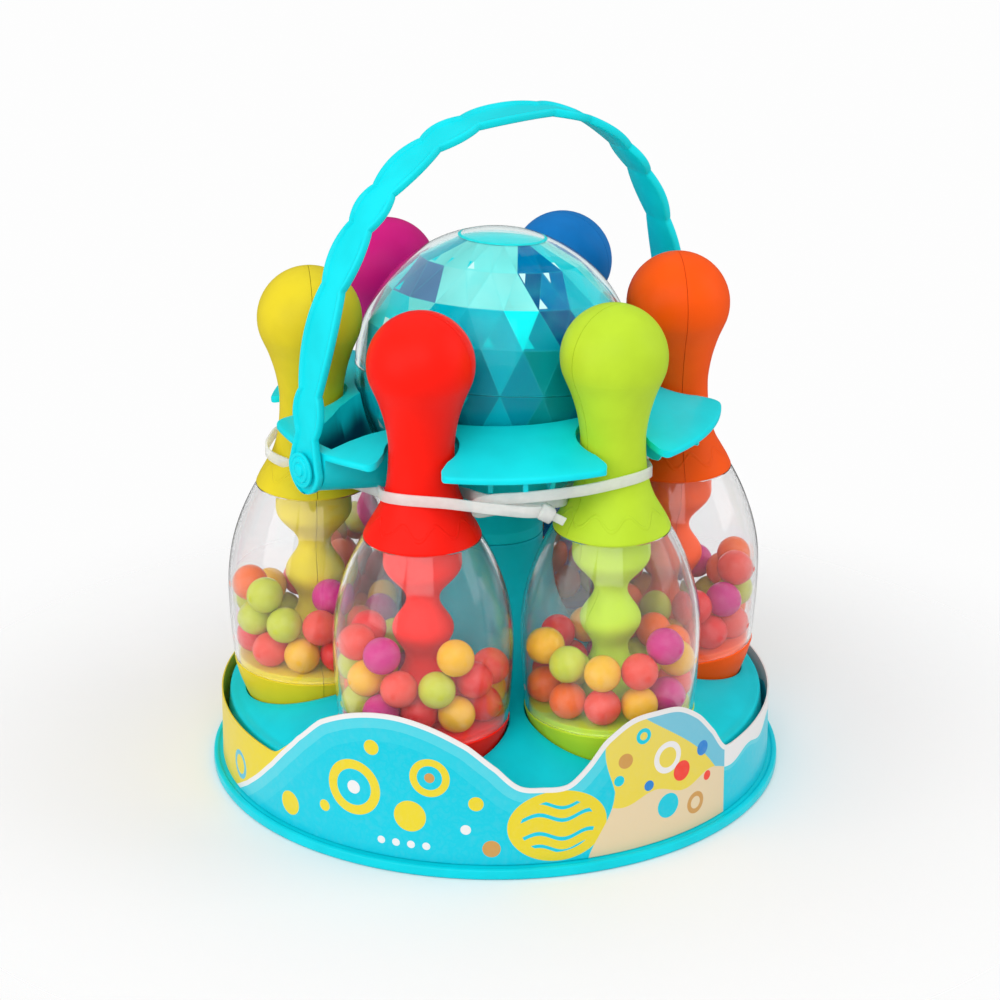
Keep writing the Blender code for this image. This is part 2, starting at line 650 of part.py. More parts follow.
def add_tray(material):
    add_mesh("base_ring", spun(ring_outline(), TRAY_SEGMENTS), material)
    tray = add_mesh("base_tray", spun(deck_outline(), TRAY_SEGMENTS), material)
    hollow = add_mesh("tray_hollow_guide", spun(deck_under(), TRAY_SEGMENTS), material)
    seat = PIN_SEAT_HEIGHT - FIT_GAP
    for index, name in enumerate(PIN_NAMES):
        place = at(pin_angle(index), PIN_RING_RADIUS)
        turn = pin_angle(index)
        pot = spun(cup_outline(CUP_CLEARANCE + TRAY_WALL, seat - TRAY_WALL, COLUMN_HEIGHT), CUP_SEGMENTS)
        combine(hollow, add_mesh("tray_pot_guide_" + name, pot, material, None, place, turn), "DIFFERENCE")
    combine(tray, hollow, "DIFFERENCE")
    for index, name in enumerate(PIN_NAMES):
        place = at(pin_angle(index), PIN_RING_RADIUS)
        cup = spun(cup_outline(CUP_CLEARANCE, seat, COLUMN_HEIGHT), CUP_SEGMENTS)
        guide = add_mesh("tray_cup_guide_" + name, cup, material, None, place, pin_angle(index))
        combine(tray, guide, "DIFFERENCE")
    column = add_mesh("tray_column", spun(column_outline(), TRAY_SEGMENTS), material)
    hole = screw_hole(COLUMN_HEIGHT - TRAY_WALL - OVERRUN, COLUMN_HEIGHT + OVERRUN)
    combine(column, add_mesh("tray_screw_guide", hole, material), "DIFFERENCE")


def screw_hole(low, high):
    radius = SCREW_RADIUS + FIT_GAP
    return spun([(0, low), (radius, low), (radius, high), (0, high)], SCREW_SEGMENTS)


def add_screw(material):
    top = COLUMN_HEIGHT - TRAY_WALL - FIT_GAP
    outline = [
        (0, top - SCREW_HEAD_HEIGHT),
        (SCREW_HEAD_RADIUS - SCREW_HEAD_HEIGHT / 2, top - SCREW_HEAD_HEIGHT),
        (SCREW_HEAD_RADIUS, top - SCREW_HEAD_HEIGHT / 2),
        (SCREW_HEAD_RADIUS, top),
        (SCREW_RADIUS, top),
        (SCREW_RADIUS, top + SCREW_REACH),
        (0, top + SCREW_REACH + SCREW_RADIUS),
    ]
    add_mesh("carrier_screw", spun(outline, SCREW_SEGMENTS), material)


# Upper carrier

def ring_height(radius):
    """Top of the ring, which falls in a straight line from the ball to its outer edge."""
    share = (radius - BALL_RADIUS) / (RING_OUTER_RADIUS - BALL_RADIUS)
    return between(RING_INNER_HEIGHT, RING_OUTER_HEIGHT, share)


def sphere_points(radius, start, end, count):
    return arc_points(0, BALL_CENTRE, radius, start, end, count)


def carrier_outline():
    cradle = BALL_RADIUS + CRADLE_GAP
    outside = cradle + CRADLE_WALL
    under_angle = math.asin((RING_INNER_HEIGHT - RING_THICKNESS - BALL_CENTRE) / outside)
    foot = COLUMN_HEIGHT + FIT_GAP
    points = [(0, foot), (COLUMN_RADIUS, foot), (COLUMN_RADIUS, foot + COLUMN_RADIUS / 4)]
    points += sphere_points(outside, BOWL_START_ANGLE, under_angle, 6)
    middle = between(outside, RING_OUTER_RADIUS, 0.5)
    points += [(middle, ring_height(middle) - RING_THICKNESS)]
    points += [(RING_OUTER_RADIUS - RING_EDGE_ROUND, RING_OUTER_HEIGHT - RING_THICKNESS)]
    points += [(RING_OUTER_RADIUS, RING_OUTER_HEIGHT - RING_EDGE_ROUND - RING_EDGE_ROUND)]
    points += [(RING_OUTER_RADIUS - RING_EDGE_ROUND, RING_OUTER_HEIGHT), (middle, ring_height(middle))]
    points += [(cradle, RING_INNER_HEIGHT), (0, RING_INNER_HEIGHT)]
    return points


def cradle_outline():
    """The ball's seat, run on past the ring above it."""
    rows = 9
    flat = math.cos(math.pi / CARRIER_SEGMENTS) * math.cos(math.pi / 4 / (rows - 1))
    cradle = (BALL_RADIUS + CRADLE_GAP) / flat
    points = sphere_points(cradle, math.radians(-90), 0, rows)
    points[0] = (0, BALL_CENTRE - cradle)
    return points + [(0, BALL_CENTRE)]


def boss_radius(x):
    return between(TROUGH_ROOT_RADIUS, BOSS_RADIUS, (x - TROUGH_ROOT) / (TROUGH_FACE - TROUGH_ROOT))


def notch_plan():
    """Slot for a neck: round at its root, with corners that flare at its mouth."""
    root = [
        (PIN_RING_RADIUS - NOTCH_RADIUS * math.cos(angle), NOTCH_RADIUS * math.sin(angle))
        for angle in (math.radians(step) for step in range(-90, 91, 30))
    ]
    mouth = RING_OUTER_RADIUS - LOBE_CORNER - RING_EDGE_ROUND
    corner = [
        (mouth + LOBE_CORNER * math.sin(angle), NOTCH_MOUTH + LOBE_CORNER * (1 - math.cos(angle)))
        for angle in (math.radians(step) for step in range(0, 91, 30))
    ]
    far = RING_OUTER_RADIUS + OVERRUN
    corner += [(far, corner[-1][1])]
    mirrored = [(x, -y) for x, y in corner]
    return root + corner + list(reversed(mirrored))


def trough_section(x, inset, top):
    """Ring of points across the trough at one x: a half round floor between straight walls."""
    radius = boss_radius(x) - inset
    steps = TROUGH_SEGMENTS // 2
    floor = [
        Vector((x, radius * math.cos(angle), PIVOT_HEIGHT + radius * math.sin(angle)))
        for angle in (-math.pi * step / steps for step in range(steps + 1))
    ]
    return floor + [Vector((x, -radius, top)), Vector((x, radius, top))]


def saddle(made):
    """Lowers the ring between the two wings beside each handle boss, which leaves its faces bent."""
    for vertex in made.verts:
        x, y, z = vertex.co
        radius = math.hypot(x, y)
        out = (radius - BALL_RADIUS - CRADLE_WALL) / (RING_OUTER_RADIUS - BALL_RADIUS - CRADLE_WALL)
        if out > 0 and z > RING_OUTER_HEIGHT - 2 * RING_THICKNESS:
            beside = max(0.0, 1 - abs(y) / (BALL_RADIUS / 2))
            vertex.co.z = z - SADDLE_DROP * out * beside
    bmesh.ops.triangulate(made, faces=made.faces)
    return made


def add_carrier(material):
    carrier = add_mesh("upper_carrier", saddle(spun(carrier_outline(), CARRIER_SEGMENTS)), material)
    side_reach = RING_OUTER_RADIUS + OVERRUN
    for index in range(len(PIN_NAMES)):
        notch = prism(notch_plan(), PIVOT_HEIGHT - OVERRUN, RING_INNER_HEIGHT + OVERRUN)
        guide = add_mesh("notch_guide_" + str(index), notch, material, None, (0, 0, 0), pin_angle(index))
        combine(carrier, guide, "DIFFERENCE")
    for index in HANDLE_LOBES:
        turn = lobe_angle(index)
        half = NOTCH_RADIUS * 3
        face = [(TROUGH_FACE, -half), (side_reach, -half), (side_reach, half), (TROUGH_FACE, half)]
        low = PIVOT_HEIGHT - OVERRUN
        trim = add_mesh("face_guide_" + str(index), prism(face, low, RING_INNER_HEIGHT), material, None, (0, 0, 0), turn)
        combine(carrier, trim, "DIFFERENCE")
        outer = lofted([
            trough_section(TROUGH_ROOT, 0, RING_INNER_HEIGHT - RING_EDGE_ROUND),
            trough_section(TROUGH_FACE, 0, BOSS_LIP_HEIGHT),
        ])
        boss = add_mesh("boss_guide_" + str(index), outer, material, None, (0, 0, 0), turn)
        combine(carrier, boss, "UNION")
        start = BALL_RADIUS + CRADLE_GAP + CRADLE_WALL
        end = TROUGH_FACE - TROUGH_END_WALL
        inner = lofted([
            trough_section(start, TROUGH_WALL, RING_INNER_HEIGHT + OVERRUN),
            trough_section(end, TROUGH_WALL, RING_INNER_HEIGHT + OVERRUN),
        ])
        channel = add_mesh("trough_guide_" + str(index), inner, material, None, (0, 0, 0), turn)
        combine(carrier, channel, "DIFFERENCE")
        bore = add_mesh("bore_guide_" + str(index), pivot_bore(end - OVERRUN, TROUGH_FACE + OVERRUN), material)
        bore.rotation_euler = (0, math.pi / 2, turn)
        bore.location = (0, 0, PIVOT_HEIGHT)
        combine(carrier, bore, "DIFFERENCE")
    for index in range(len(PIN_NAMES)):
        if index not in HANDLE_LOBES:
            add_fins(carrier, index, material)
    combine(carrier, add_mesh("cradle_guide", spun(cradle_outline(), CARRIER_SEGMENTS), material), "DIFFERENCE")
    hole = screw_hole(COLUMN_HEIGHT - OVERRUN, COLUMN_HEIGHT - TRAY_WALL + SCREW_REACH + SCREW_RADIUS + FIT_GAP)
    combine(carrier, add_mesh("carrier_screw_guide", hole, material), "DIFFERENCE")
    return carrier


def add_fins(carrier, index, material):
    """Two ribs and a short tab under a lobe of the ring."""
    root = BALL_RADIUS + CRADLE_GAP + CRADLE_WALL / 2
    for side in (-1, 1):
        low = ring_height(FIN_TIP_RADIUS) - FIN_DROP
        plan = [
            (root, ring_height(root) - RING_THICKNESS / 2),
            (FIN_REACH, ring_height(FIN_REACH) - RING_THICKNESS / 2),
            (FIN_TIP_RADIUS + FIN_TIP_WIDTH / 2, low),
            (FIN_TIP_RADIUS - FIN_TIP_WIDTH / 2, low),
            (root - CRADLE_WALL, RING_INNER_HEIGHT - FIN_ROOT_DROP),
        ]
        fin = lofted([
            [Vector((x, -FIN_THICKNESS / 2, z)) for x, z in plan],
            [Vector((x, FIN_THICKNESS / 2, z)) for x, z in plan],
        ])
        turn = lobe_angle(index) + side * FIN_ANGLE
        name = "fin_guide_" + str(index) + ("_left" if side < 0 else "_right")
        combine(carrier, add_mesh(name, fin, material, None, (0, 0, 0), turn), "UNION")
    half = FIN_THICKNESS / 2
    under = ring_height(TAB_RADIUS) - RING_THICKNESS
    plan = [
        (TAB_RADIUS - TAB_LENGTH / 2, -half),
        (TAB_RADIUS + TAB_LENGTH / 2, -half),
        (TAB_RADIUS + TAB_LENGTH / 2, half),
        (TAB_RADIUS - TAB_LENGTH / 2, half),
    ]
    tab = prism(plan, under - TAB_DEPTH, under + RING_THICKNESS / 2)
    combine(carrier, add_mesh("tab_guide_" + str(index), tab, material, None, (0, 0, 0), lobe_angle(index)), "UNION")


# Handle

def pivot_bore(low, high):
    radius = PIVOT_RADIUS + RUN_GAP
    return spun([(0, low), (radius, low), (radius, high), (0, high)], PIVOT_SEGMENTS)


def strap_centre(angle):
    """Middle line of the arch, a flattened half ellipse over the pivot line."""
    across = math.cos(angle)
    up = math.sin(angle)
    x = math.copysign(abs(across) ** (2 / HANDLE_POWER), across) * HANDLE_HALF_SPAN
    return Vector((x, 0, abs(up) ** (2 / HANDLE_POWER) * HANDLE_RISE))


def strap_half_width(degrees):
    """Half width along the arch: waists at the listed angles, and a round bulge between each two."""
    side = min(degrees, 180 - degrees)
    stops = [0.0, *WAIST_ANGLES, 180 - WAIST_ANGLES[-1]]
    for low, high in zip(stops, stops[1:]):
        if side <= high:
            share = (side - low) / (high - low)
            swelling = math.sin(math.pi * share) ** BULGE_POWER if 0 < share < 1 else 0.0
            if low == 0.0:
                return between(HANDLE_EYE_RADIUS, STRAP_WAIST, share)
            return between(STRAP_WAIST, STRAP_BULGE, swelling)
    return STRAP_WAIST


def strap_angles():
    """Angles of the arch's stations: the waists, and steps between them."""
    stops = [0.0, *WAIST_ANGLES, 90.0]
    half = []
    for low, high in zip(stops, stops[1:]):
        steps = 2 if high - low < LONG_BULGE_ANGLE else 4
        half += [between(low, high, index / steps) for index in range(steps)]
    return half + [90.0] + [180 - value for value in reversed(half)]


def strap_ring(centre, tangent, half_width):
    """Cross-section: a flat strap whose outer face is sunk between two raised edges."""
    out = Vector((tangent.z, 0, -tangent.x))
    side = Vector((0, 1, 0))
    half = STRAP_THICKNESS / 2
    edge = half_width - STRAP_BEAD
    inner_edge = edge - STRAP_RECESS
    corners = [
        (-half, -half_width), (-half, half_width), (half, half_width), (half, edge),
        (half - STRAP_RECESS, inner_edge), (half - STRAP_RECESS, -inner_edge), (half, -edge), (half, -half_width),
    ]
    return [centre + out * depth + side * width for depth, width in corners]


def handle_sections():
    sections = []
    for side in (1, -1):
        eye = []
        for share in EYE_SHARES:
            width = HANDLE_EYE_RADIUS * math.sqrt(1 - share * share)
            centre = Vector((side * HANDLE_HALF_SPAN, 0, -share * HANDLE_EYE_RADIUS))
            eye.append(strap_ring(centre, Vector((0, 0, side)), width))
        if side == 1:
            sections += eye
            for degrees in strap_angles():
                angle = math.radians(degrees)
                before = strap_centre(max(angle - TANGENT_ANGLE, 0))
                after = strap_centre(min(angle + TANGENT_ANGLE, math.pi))
                tangent = (after - before).normalized()
                if degrees in (0.0, 180.0):
                    tangent = Vector((0, 0, 1 if degrees == 0.0 else -1))
                sections.append(strap_ring(strap_centre(angle), tangent, strap_half_width(degrees)))
        else:
            sections += list(reversed(eye))
    return sections


def add_handle(material, pin_material):
    swing = add_empty("handle_swing", (0, 0, PIVOT_HEIGHT), (HANDLE_LEAN, 0, 0))
    handle = add_mesh("carry_handle", lofted(handle_sections()), material, swing)
    outside = HANDLE_HALF_SPAN + STRAP_THICKNESS / 2
    for index, name in zip(HANDLE_LOBES, ("right", "left")):
        turn = lobe_angle(index)
        bore = add_mesh("eye_guide_" + name, pivot_bore(TROUGH_FACE - OVERRUN, outside + OVERRUN), material, swing)
        bore.rotation_euler = (0, math.pi / 2, turn)
        combine(handle, bore, "DIFFERENCE")
        pivot = add_mesh("handle_pivot_" + name, spun(pivot_outline(), PIVOT_SEGMENTS), pin_material, swing)
        pivot.rotation_euler = (0, math.pi / 2, turn)


def pivot_outline():
    """Push-in pin: ringed head outside the handle, shank through both, and a barb inside the trough."""
    face = HANDLE_HALF_SPAN + STRAP_THICKNESS / 2 + FIT_GAP
    wall = TROUGH_FACE - TROUGH_END_WALL - FIT_GAP
    head = face + PIVOT_HEAD_THICKNESS
    return [
        (0, wall - PIVOT_BARB_LENGTH),
        (PIVOT_RADIUS - PIVOT_RING_STEP, wall - PIVOT_BARB_LENGTH),
        (PIVOT_BARB_RADIUS, wall),
        (PIVOT_RADIUS, wall),
        (PIVOT_RADIUS, face),
        (PIVOT_HEAD_RADIUS, face),
        (PIVOT_HEAD_RADIUS, head),
        (PIVOT_RING_RADIUS, head),
        (PIVOT_RING_RADIUS, head + PIVOT_RING_STEP),
        (PIVOT_DOME_RADIUS, head + PIVOT_RING_STEP),
        (PIVOT_DOME_RADIUS, head + 2 * PIVOT_RING_STEP),
        (0, head + 2 * PIVOT_RING_STEP),
    ]


# Ball

def clear_half(seam, pole, count):
    """Outline of one clear half, from its seam to its pole and back inside."""
    outer = arc_points(0, 0, BALL_RADIUS, math.asin(seam / BALL_RADIUS), pole, count)
    inside = BALL_RADIUS - BALL_WALL
    inner = arc_points(0, 0, inside, pole, math.asin(seam / inside), count - 1)
    outer[-1] = (0, math.copysign(BALL_RADIUS, pole))
    inner[0] = (0, math.copysign(inside, pole))
    return outer + inner


def liner_rows(radius, latitudes, facets, seam):
    """Rings of corners on a sphere, each turned half a facet from the last, so that the faces are triangles."""
    rows = [(math.sqrt(radius * radius - seam * seam), seam)]
    for value in reversed(latitudes):
        latitude = math.radians(value)
        rows.append((radius * math.cos(latitude), radius * math.sin(latitude)))
    return [
        [at((corner + number % 2 / 2) * FULL_TURN / facets, row_radius, height) for corner in range(facets)]
        for number, (row_radius, height) in enumerate(rows)
    ]


def add_liner(name, latitudes, facets, seam, material, parent, closed_pole):
    """Faceted inner shell: two skins of triangles, a wall apart, joined round their edges."""
    radius = BALL_RADIUS - BALL_WALL - LINER_GAP
    made = bmesh.new()
    skins = []
    for size in (radius, radius - LINER_WALL):
        rows = [[made.verts.new(point) for point in row] for row in liner_rows(size, latitudes, facets, seam)]
        for number, (lower, upper) in enumerate(zip(rows, rows[1:])):
            for corner in range(facets):
                after = (corner + 1) % facets
                if number % 2 == 0:
                    made.faces.new((lower[corner], lower[after], upper[corner]))
                    made.faces.new((upper[corner], lower[after], upper[after]))
                else:
                    made.faces.new((lower[corner], upper[after], upper[corner]))
                    made.faces.new((lower[corner], lower[after], upper[after]))
        skins.append(rows)
    edges = [0] if closed_pole else [0, -1]
    for row in edges:
        for corner in range(facets):
            after = (corner + 1) % facets
            outer, inner = skins[0][row], skins[1][row]
            made.faces.new((outer[corner], outer[after], inner[after], inner[corner]))
    if closed_pole:
        made.faces.new(skins[0][-1])
        made.faces.new(skins[1][-1])
    return add_mesh(name, made, material, parent)


def add_ball():
    spin = add_empty("ball_spin", (0, 0, BALL_CENTRE))
    clear = plastic("ball_clear", (0.85, 0.97, 0.98), 0.04, 0.25)
    liner = plastic("ball_liner", (0.03, 0.55, 0.62), 0.12, 0.7)
    disc = plastic("ball_disc", (0.02, 0.6, 0.66), 0.25)
    seam = BALL_SEAM_RISE
    upper = clear_half(seam + FIT_GAP / 2, math.pi / 2, 7)
    lower = clear_half(seam - FIT_GAP / 2, -math.pi / 2, 7)
    add_mesh("ball_upper_half", spun(upper, BALL_SEGMENTS), clear, spin)
    add_mesh("ball_lower_half", spun(lower, BALL_SEGMENTS), clear, spin)
    low = tuple(reversed(LINER_LOWER_LATITUDES))
    above, below = seam + FIT_GAP / 2, seam - FIT_GAP / 2
    add_liner("ball_liner_upper", LINER_UPPER_LATITUDES, LINER_UPPER_FACETS, above, liner, spin, False)
    add_liner("ball_liner_lower", low, LINER_LOWER_FACETS, below, liner, spin, True)
    inside = BALL_RADIUS - BALL_WALL - LINER_GAP
    rest = inside * math.sin(math.radians(LINER_UPPER_LATITUDES[0])) + FIT_GAP
    outline = [(0, rest), (TOP_DISC_RADIUS, rest), (TOP_DISC_RADIUS, rest + TOP_DISC_THICKNESS / 2)]
    outline += [(TOP_DISC_RADIUS - TOP_DISC_THICKNESS, rest + TOP_DISC_THICKNESS), (0, rest + TOP_DISC_THICKNESS)]
    add_mesh("ball_top_disc", spun(outline, BALL_SEGMENTS), disc, spin)


# Card and ties

def card_tops():
    """Angle and height of the card's top edge, once round."""
    left = [(angle, between(CARD_BAND_HEIGHT, CARD_LEFT_PEAK, share)) for angle, share in CARD_LEFT_SHARES]
    right = [(angle, between(CARD_BAND_HEIGHT, CARD_RIGHT_PEAK, share)) for angle, share in CARD_RIGHT_SHARES]
    valley = [(angle, CARD_VALLEY) for angle in CARD_VALLEY_ANGLES]
    shaped = left + valley + right
    first, last = shaped[0][0], shaped[-1][0]
    plain = []
    angle = last + CARD_STEP_ANGLE / 2
    while angle < first + 360 - CARD_STEP_ANGLE / 2:
        plain.append((angle, CARD_BAND_HEIGHT))
        angle += CARD_STEP_ANGLE
    return shaped + plain


def add_card(material):
    foot = LIP_HEIGHT + FIT_GAP
    sections = []
    for degrees, height in card_tops():
        angle = math.radians(degrees)
        lean = CARD_LEAN * (height - foot) / (CARD_LEFT_PEAK - foot)
        sections.append([
            at(angle, CARD_RADIUS - CARD_THICKNESS, foot),
            at(angle, CARD_RADIUS, foot),
            at(angle, CARD_RADIUS - lean, height),
            at(angle, CARD_RADIUS - lean - CARD_THICKNESS, height),
        ])
    return add_mesh("printed_card", lofted(sections, closed=True), material)


def beside_pin(index, degrees, height):
    """A place on a tie where it passes a pin, by the direction it is seen in from the pin's axis."""
    radius = skirt_radius(height - TIE_WIDTH / 2) + TIE_GAP + TIE_THICKNESS / 2
    angle = pin_angle(index)
    point = at(angle, PIN_RING_RADIUS) + at(angle + math.radians(degrees), radius)
    point.z = height
    return point


def tie_place(angle, out, up):
    return at(math.radians(angle), between(TIE_INNER_RADIUS, TIE_OUTER_RADIUS, out), between(TIE_LOW, TIE_HIGH, up))


def tie_corner(place, value, share):
    if isinstance(place, str):
        return beside_pin(PIN_NAMES.index(place), value, between(TIE_LOW, TIE_HIGH, share))
    return tie_place(place, value, share)


def rounded(points, steps):
    """Points along a smooth closed curve that passes through the given ones."""
    count = len(points)
    curve = []
    for index in range(count):
        before, start, end, after = (points[(index + shift) % count] for shift in (-1, 0, 1, 2))
        for part in range(steps):
            t = part / steps
            bend = (2 * before - 5 * start + 4 * end - after) * t * t
            twist = (3 * start - before - 3 * end + after) * t ** 3
            curve.append((2 * start + (end - before) * t + bend + twist) / 2)
    return curve


def strap_box(centre, tangent, width, thickness):
    """Upright rectangle across a strap that runs along the tangent."""
    side = Vector((tangent.y, -tangent.x, 0)).normalized() * thickness / 2
    up = side.cross(tangent).normalized() * width / 2
    return [centre + side + up, centre + side - up, centre - side - up, centre - side + up]


def add_tie(name, material):
    curve = rounded([tie_corner(*corner) for corner in TIE_ROUTE_SHARES[name]], TIE_STEPS)
    sections = []
    for index, centre in enumerate(curve):
        tangent = (curve[(index + 1) % len(curve)] - curve[index - 1]).normalized()
        sections.append(strap_box(centre, tangent, TIE_WIDTH, TIE_THICKNESS))
    tie = add_mesh("cable_tie_" + name, lofted(sections, closed=True), material)
    angle, out, up, leaving = TIE_LOCK_SHARES[name]
    centre = tie_place(angle, out, up)
    heading = math.radians(angle)
    outward = at(heading, 1)
    ends = [centre - outward * TIE_LOCK_DEPTH / 2, centre + outward * TIE_LOCK_DEPTH / 2]
    box = lofted([strap_box(end, outward, TIE_LOCK_HEIGHT, TIE_LOCK_LENGTH) for end in ends])
    combine(tie, add_mesh("tie_lock_guide_" + name, box, material), "UNION")
    away = at(heading + math.radians(leaving), 1)
    away.z = -TIE_THICKNESS / TIE_WIDTH
    away.normalize()
    tail = lofted([
        strap_box(centre, away, TIE_WIDTH - TIE_THICKNESS, TIE_THICKNESS),
        strap_box(centre + away * TIE_TAIL, away, TIE_WIDTH - TIE_THICKNESS, TIE_THICKNESS),
    ])
    combine(tie, add_mesh("tie_tail_guide_" + name, tail, material), "UNION")


clear_scene()
turquoise = plastic("turquoise", TURQUOISE, 0.35)
deep = plastic("tray_turquoise", (0.014, 0.57, 0.68), 0.35)
steel = plastic("screw_steel", (0.55, 0.56, 0.58), 0.3)
board = plastic("card_print", (0.01, 0.6, 0.75), 0.5)

add_tray(deep)
add_carrier(turquoise)
add_screw(steel)
add_handle(turquoise, turquoise)
add_ball()
add_card(board)
nylon = plastic("nylon", (0.78, 0.8, 0.8), 0.4, 0.85)
for tie_name in TIE_ROUTE_SHARES:
    add_tie(tie_name, nylon)
for number, pin_name in enumerate(PIN_NAMES):
    add_pin(number, pin_name)
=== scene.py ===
# Looks of the toy bowling set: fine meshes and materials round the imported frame.
# Outlines are worked out in millimetres and become metres when a piece is made.
import math

import bmesh
import bpy
import numpy as np
from mathutils import Matrix, Vector


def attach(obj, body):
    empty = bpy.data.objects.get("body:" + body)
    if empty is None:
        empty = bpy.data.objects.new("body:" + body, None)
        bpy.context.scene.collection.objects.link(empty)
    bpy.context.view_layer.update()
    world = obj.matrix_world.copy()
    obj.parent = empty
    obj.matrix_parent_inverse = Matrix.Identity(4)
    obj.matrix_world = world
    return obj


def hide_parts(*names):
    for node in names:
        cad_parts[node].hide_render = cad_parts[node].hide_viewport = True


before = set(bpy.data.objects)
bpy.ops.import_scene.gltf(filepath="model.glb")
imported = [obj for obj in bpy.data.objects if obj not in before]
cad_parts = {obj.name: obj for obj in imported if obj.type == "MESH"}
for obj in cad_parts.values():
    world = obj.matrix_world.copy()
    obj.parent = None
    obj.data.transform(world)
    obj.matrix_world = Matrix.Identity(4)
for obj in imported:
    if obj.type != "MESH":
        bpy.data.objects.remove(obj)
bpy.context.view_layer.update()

mm = 0.001
fullTurn = 2 * math.pi
pivotHeight = 157.6  # of the handle's two pivots above the ground
pinNames = ("blue", "magenta", "yellow", "red", "green", "orange")


# Small helpers

def between(start, end, share):
    return start + (end - start) * share


def at(degrees, radius, height=0.0):
    angle = math.radians(degrees)
    return Vector((radius * math.cos(angle), radius * math.sin(angle), height))


def eased(a, b, c, d, t):  # from b to c, coming from a and going on to d
    bend = (2 * a - 5 * b + 4 * c - d) * t ** 2
    return (2 * b + (c - a) * t + bend + (3 * b - a - 3 * c + d) * t ** 3) / 2


def throughPoints(points, steps, closed=False):  # smooth curve that passes through the points
    points = [Vector(p) for p in points]
    count = len(points)
    curve = []
    for index in range(count if closed else count - 1):
        near = [index + shift for shift in (-1, 0, 1, 2)]
        near = [i % count if closed else min(max(i, 0), count - 1) for i in near]
        curve += [eased(*(points[i] for i in near), part / steps) for part in range(steps)]
    return curve if closed else curve + [points[-1]]


def softened(outline, radius, steps=3):  # rounds every corner of an open outline but its ends
    points = [Vector(p) for p in outline]
    result = [points[0]]
    for before, corner, after in zip(points, points[1:], points[2:]):
        back, ahead = before - corner, after - corner
        reach = min(radius, back.length * 0.45, ahead.length * 0.45)
        if reach < 0.02 or back.angle(ahead) > math.radians(165):
            result.append(corner)
            continue
        start, end = corner + back.normalized() * reach, corner + ahead.normalized() * reach
        for part in range(steps + 1):
            t = part / steps
            result.append(start * (1 - t) ** 2 + corner * 2 * t * (1 - t) + end * t ** 2)
    return result + [points[-1]]


def arc(radius, height, size, start, end, count):
    return [
        (radius + size * math.cos(math.radians(a)), height + size * math.sin(math.radians(a)))
        for a in (between(start, end, index / (count - 1)) for index in range(count))
    ]


def spun(outline, steps, turn=fullTurn, start=0.0):
    bm = bmesh.new()
    turned = Matrix.Rotation(start, 3, "Z")
    ring = [bm.verts.new(turned @ Vector((p[0], 0, p[1]))) for p in outline]
    edges = [bm.edges.new(pair) for pair in zip(ring, ring[1:] + ring[:1])]
    whole = turn == fullTurn
    made = bmesh.ops.spin(
        bm, geom=ring + edges, cent=(0, 0, 0), axis=(0, 0, 1), angle=turn, steps=steps, use_merge=whole
    )
    if not whole:
        last = [v for v in made["geom_last"] if isinstance(v, bmesh.types.BMVert)]
        bm.faces.new(ring)
        bm.faces.new(last)
    return bm


def lofted(sections, closed=False):
    bm = bmesh.new()
    rings = [[bm.verts.new(p) for p in section] for section in sections]
    pairs = list(zip(rings, rings[1:])) + ([(rings[-1], rings[0])] if closed else [])
    for one, other in pairs:
        for index in range(len(one)):
            after = (index + 1) % len(one)
            bm.faces.new((one[index], one[after], other[after], other[index]))
    if not closed:
        bm.faces.new(rings[0])
        bm.faces.new(rings[-1])
    return bm


def prism(outline, low, high):
    return lofted([[(x, y, low) for x, y in outline], [(x, y, high) for x, y in outline]])


def joined(meshes):  # several shapes in one
    whole = bmesh.new()
    for bm in meshes:
        data = bpy.data.meshes.new("part")
        bm.to_mesh(data)
        bm.free()
        whole.from_mesh(data)
        bpy.data.meshes.remove(data)
    return whole


def moved(bm, degrees=0.0, place=(0, 0, 0), axis="Z"):
    bmesh.ops.rotate(bm, verts=bm.verts, matrix=Matrix.Rotation(math.radians(degrees), 3, axis))
    bmesh.ops.translate(bm, verts=bm.verts, vec=place)
    return bm


def welded(bm, reach):
    bmesh.ops.remove_doubles(bm, verts=bm.verts, dist=reach)
    bmesh.ops.dissolve_degenerate(bm, edges=bm.edges, dist=reach)


def closedUp(bm):
    welded(bm, 0.0008)
    bmesh.ops.delete(bm, geom=[e for e in bm.edges if not e.link_faces], context="EDGES")
    bmesh.ops.recalc_face_normals(bm, faces=bm.faces)


def smoothed(piece, under=40):  # smooth over the edges that turn less than this many degrees
    piece.data.shade_smooth()
    piece.data.set_sharp_from_angle(angle=math.radians(under))


def addPiece(name, bm, smoothUnder=40):
    closedUp(bm)
    bmesh.ops.scale(bm, vec=(mm, mm, mm), verts=bm.verts)
    mesh = bpy.data.meshes.new(name)
    bm.to_mesh(mesh)
    bm.free()
    piece = bpy.data.objects.new(name, mesh)
    bpy.context.collection.objects.link(piece)
    smoothed(piece, smoothUnder)
    return piece


def baked(piece):  # turns what the modifiers make into the piece's own mesh
    depsgraph = bpy.context.evaluated_depsgraph_get()
    mesh = bpy.data.meshes.new_from_object(piece.evaluated_get(depsgraph))
    piece.modifiers.clear()
    piece.data = mesh
    return piece


def combined(piece, bm, operation):
    tool = addPiece("tool", bm)
    step = piece.modifiers.new(operation, "BOOLEAN")
    step.operation = operation
    step.solver = "EXACT"
    step.object = tool
    baked(piece)
    bpy.data.objects.remove(tool)
    return piece


def rounded(piece, width, segments):  # small radius on the edges of a moulding
    bm = bmesh.new()
    bm.from_mesh(piece.data)
    welded(bm, 0.02 * mm)
    bm.to_mesh(piece.data)
    bm.free()
    step = piece.modifiers.new("radius", "BEVEL")
    step.width = width * mm
    step.segments = segments
    step.limit_method = "ANGLE"
    step.angle_limit = math.radians(32)
    step.use_clamp_overlap = True
    smoothed(baked(piece))


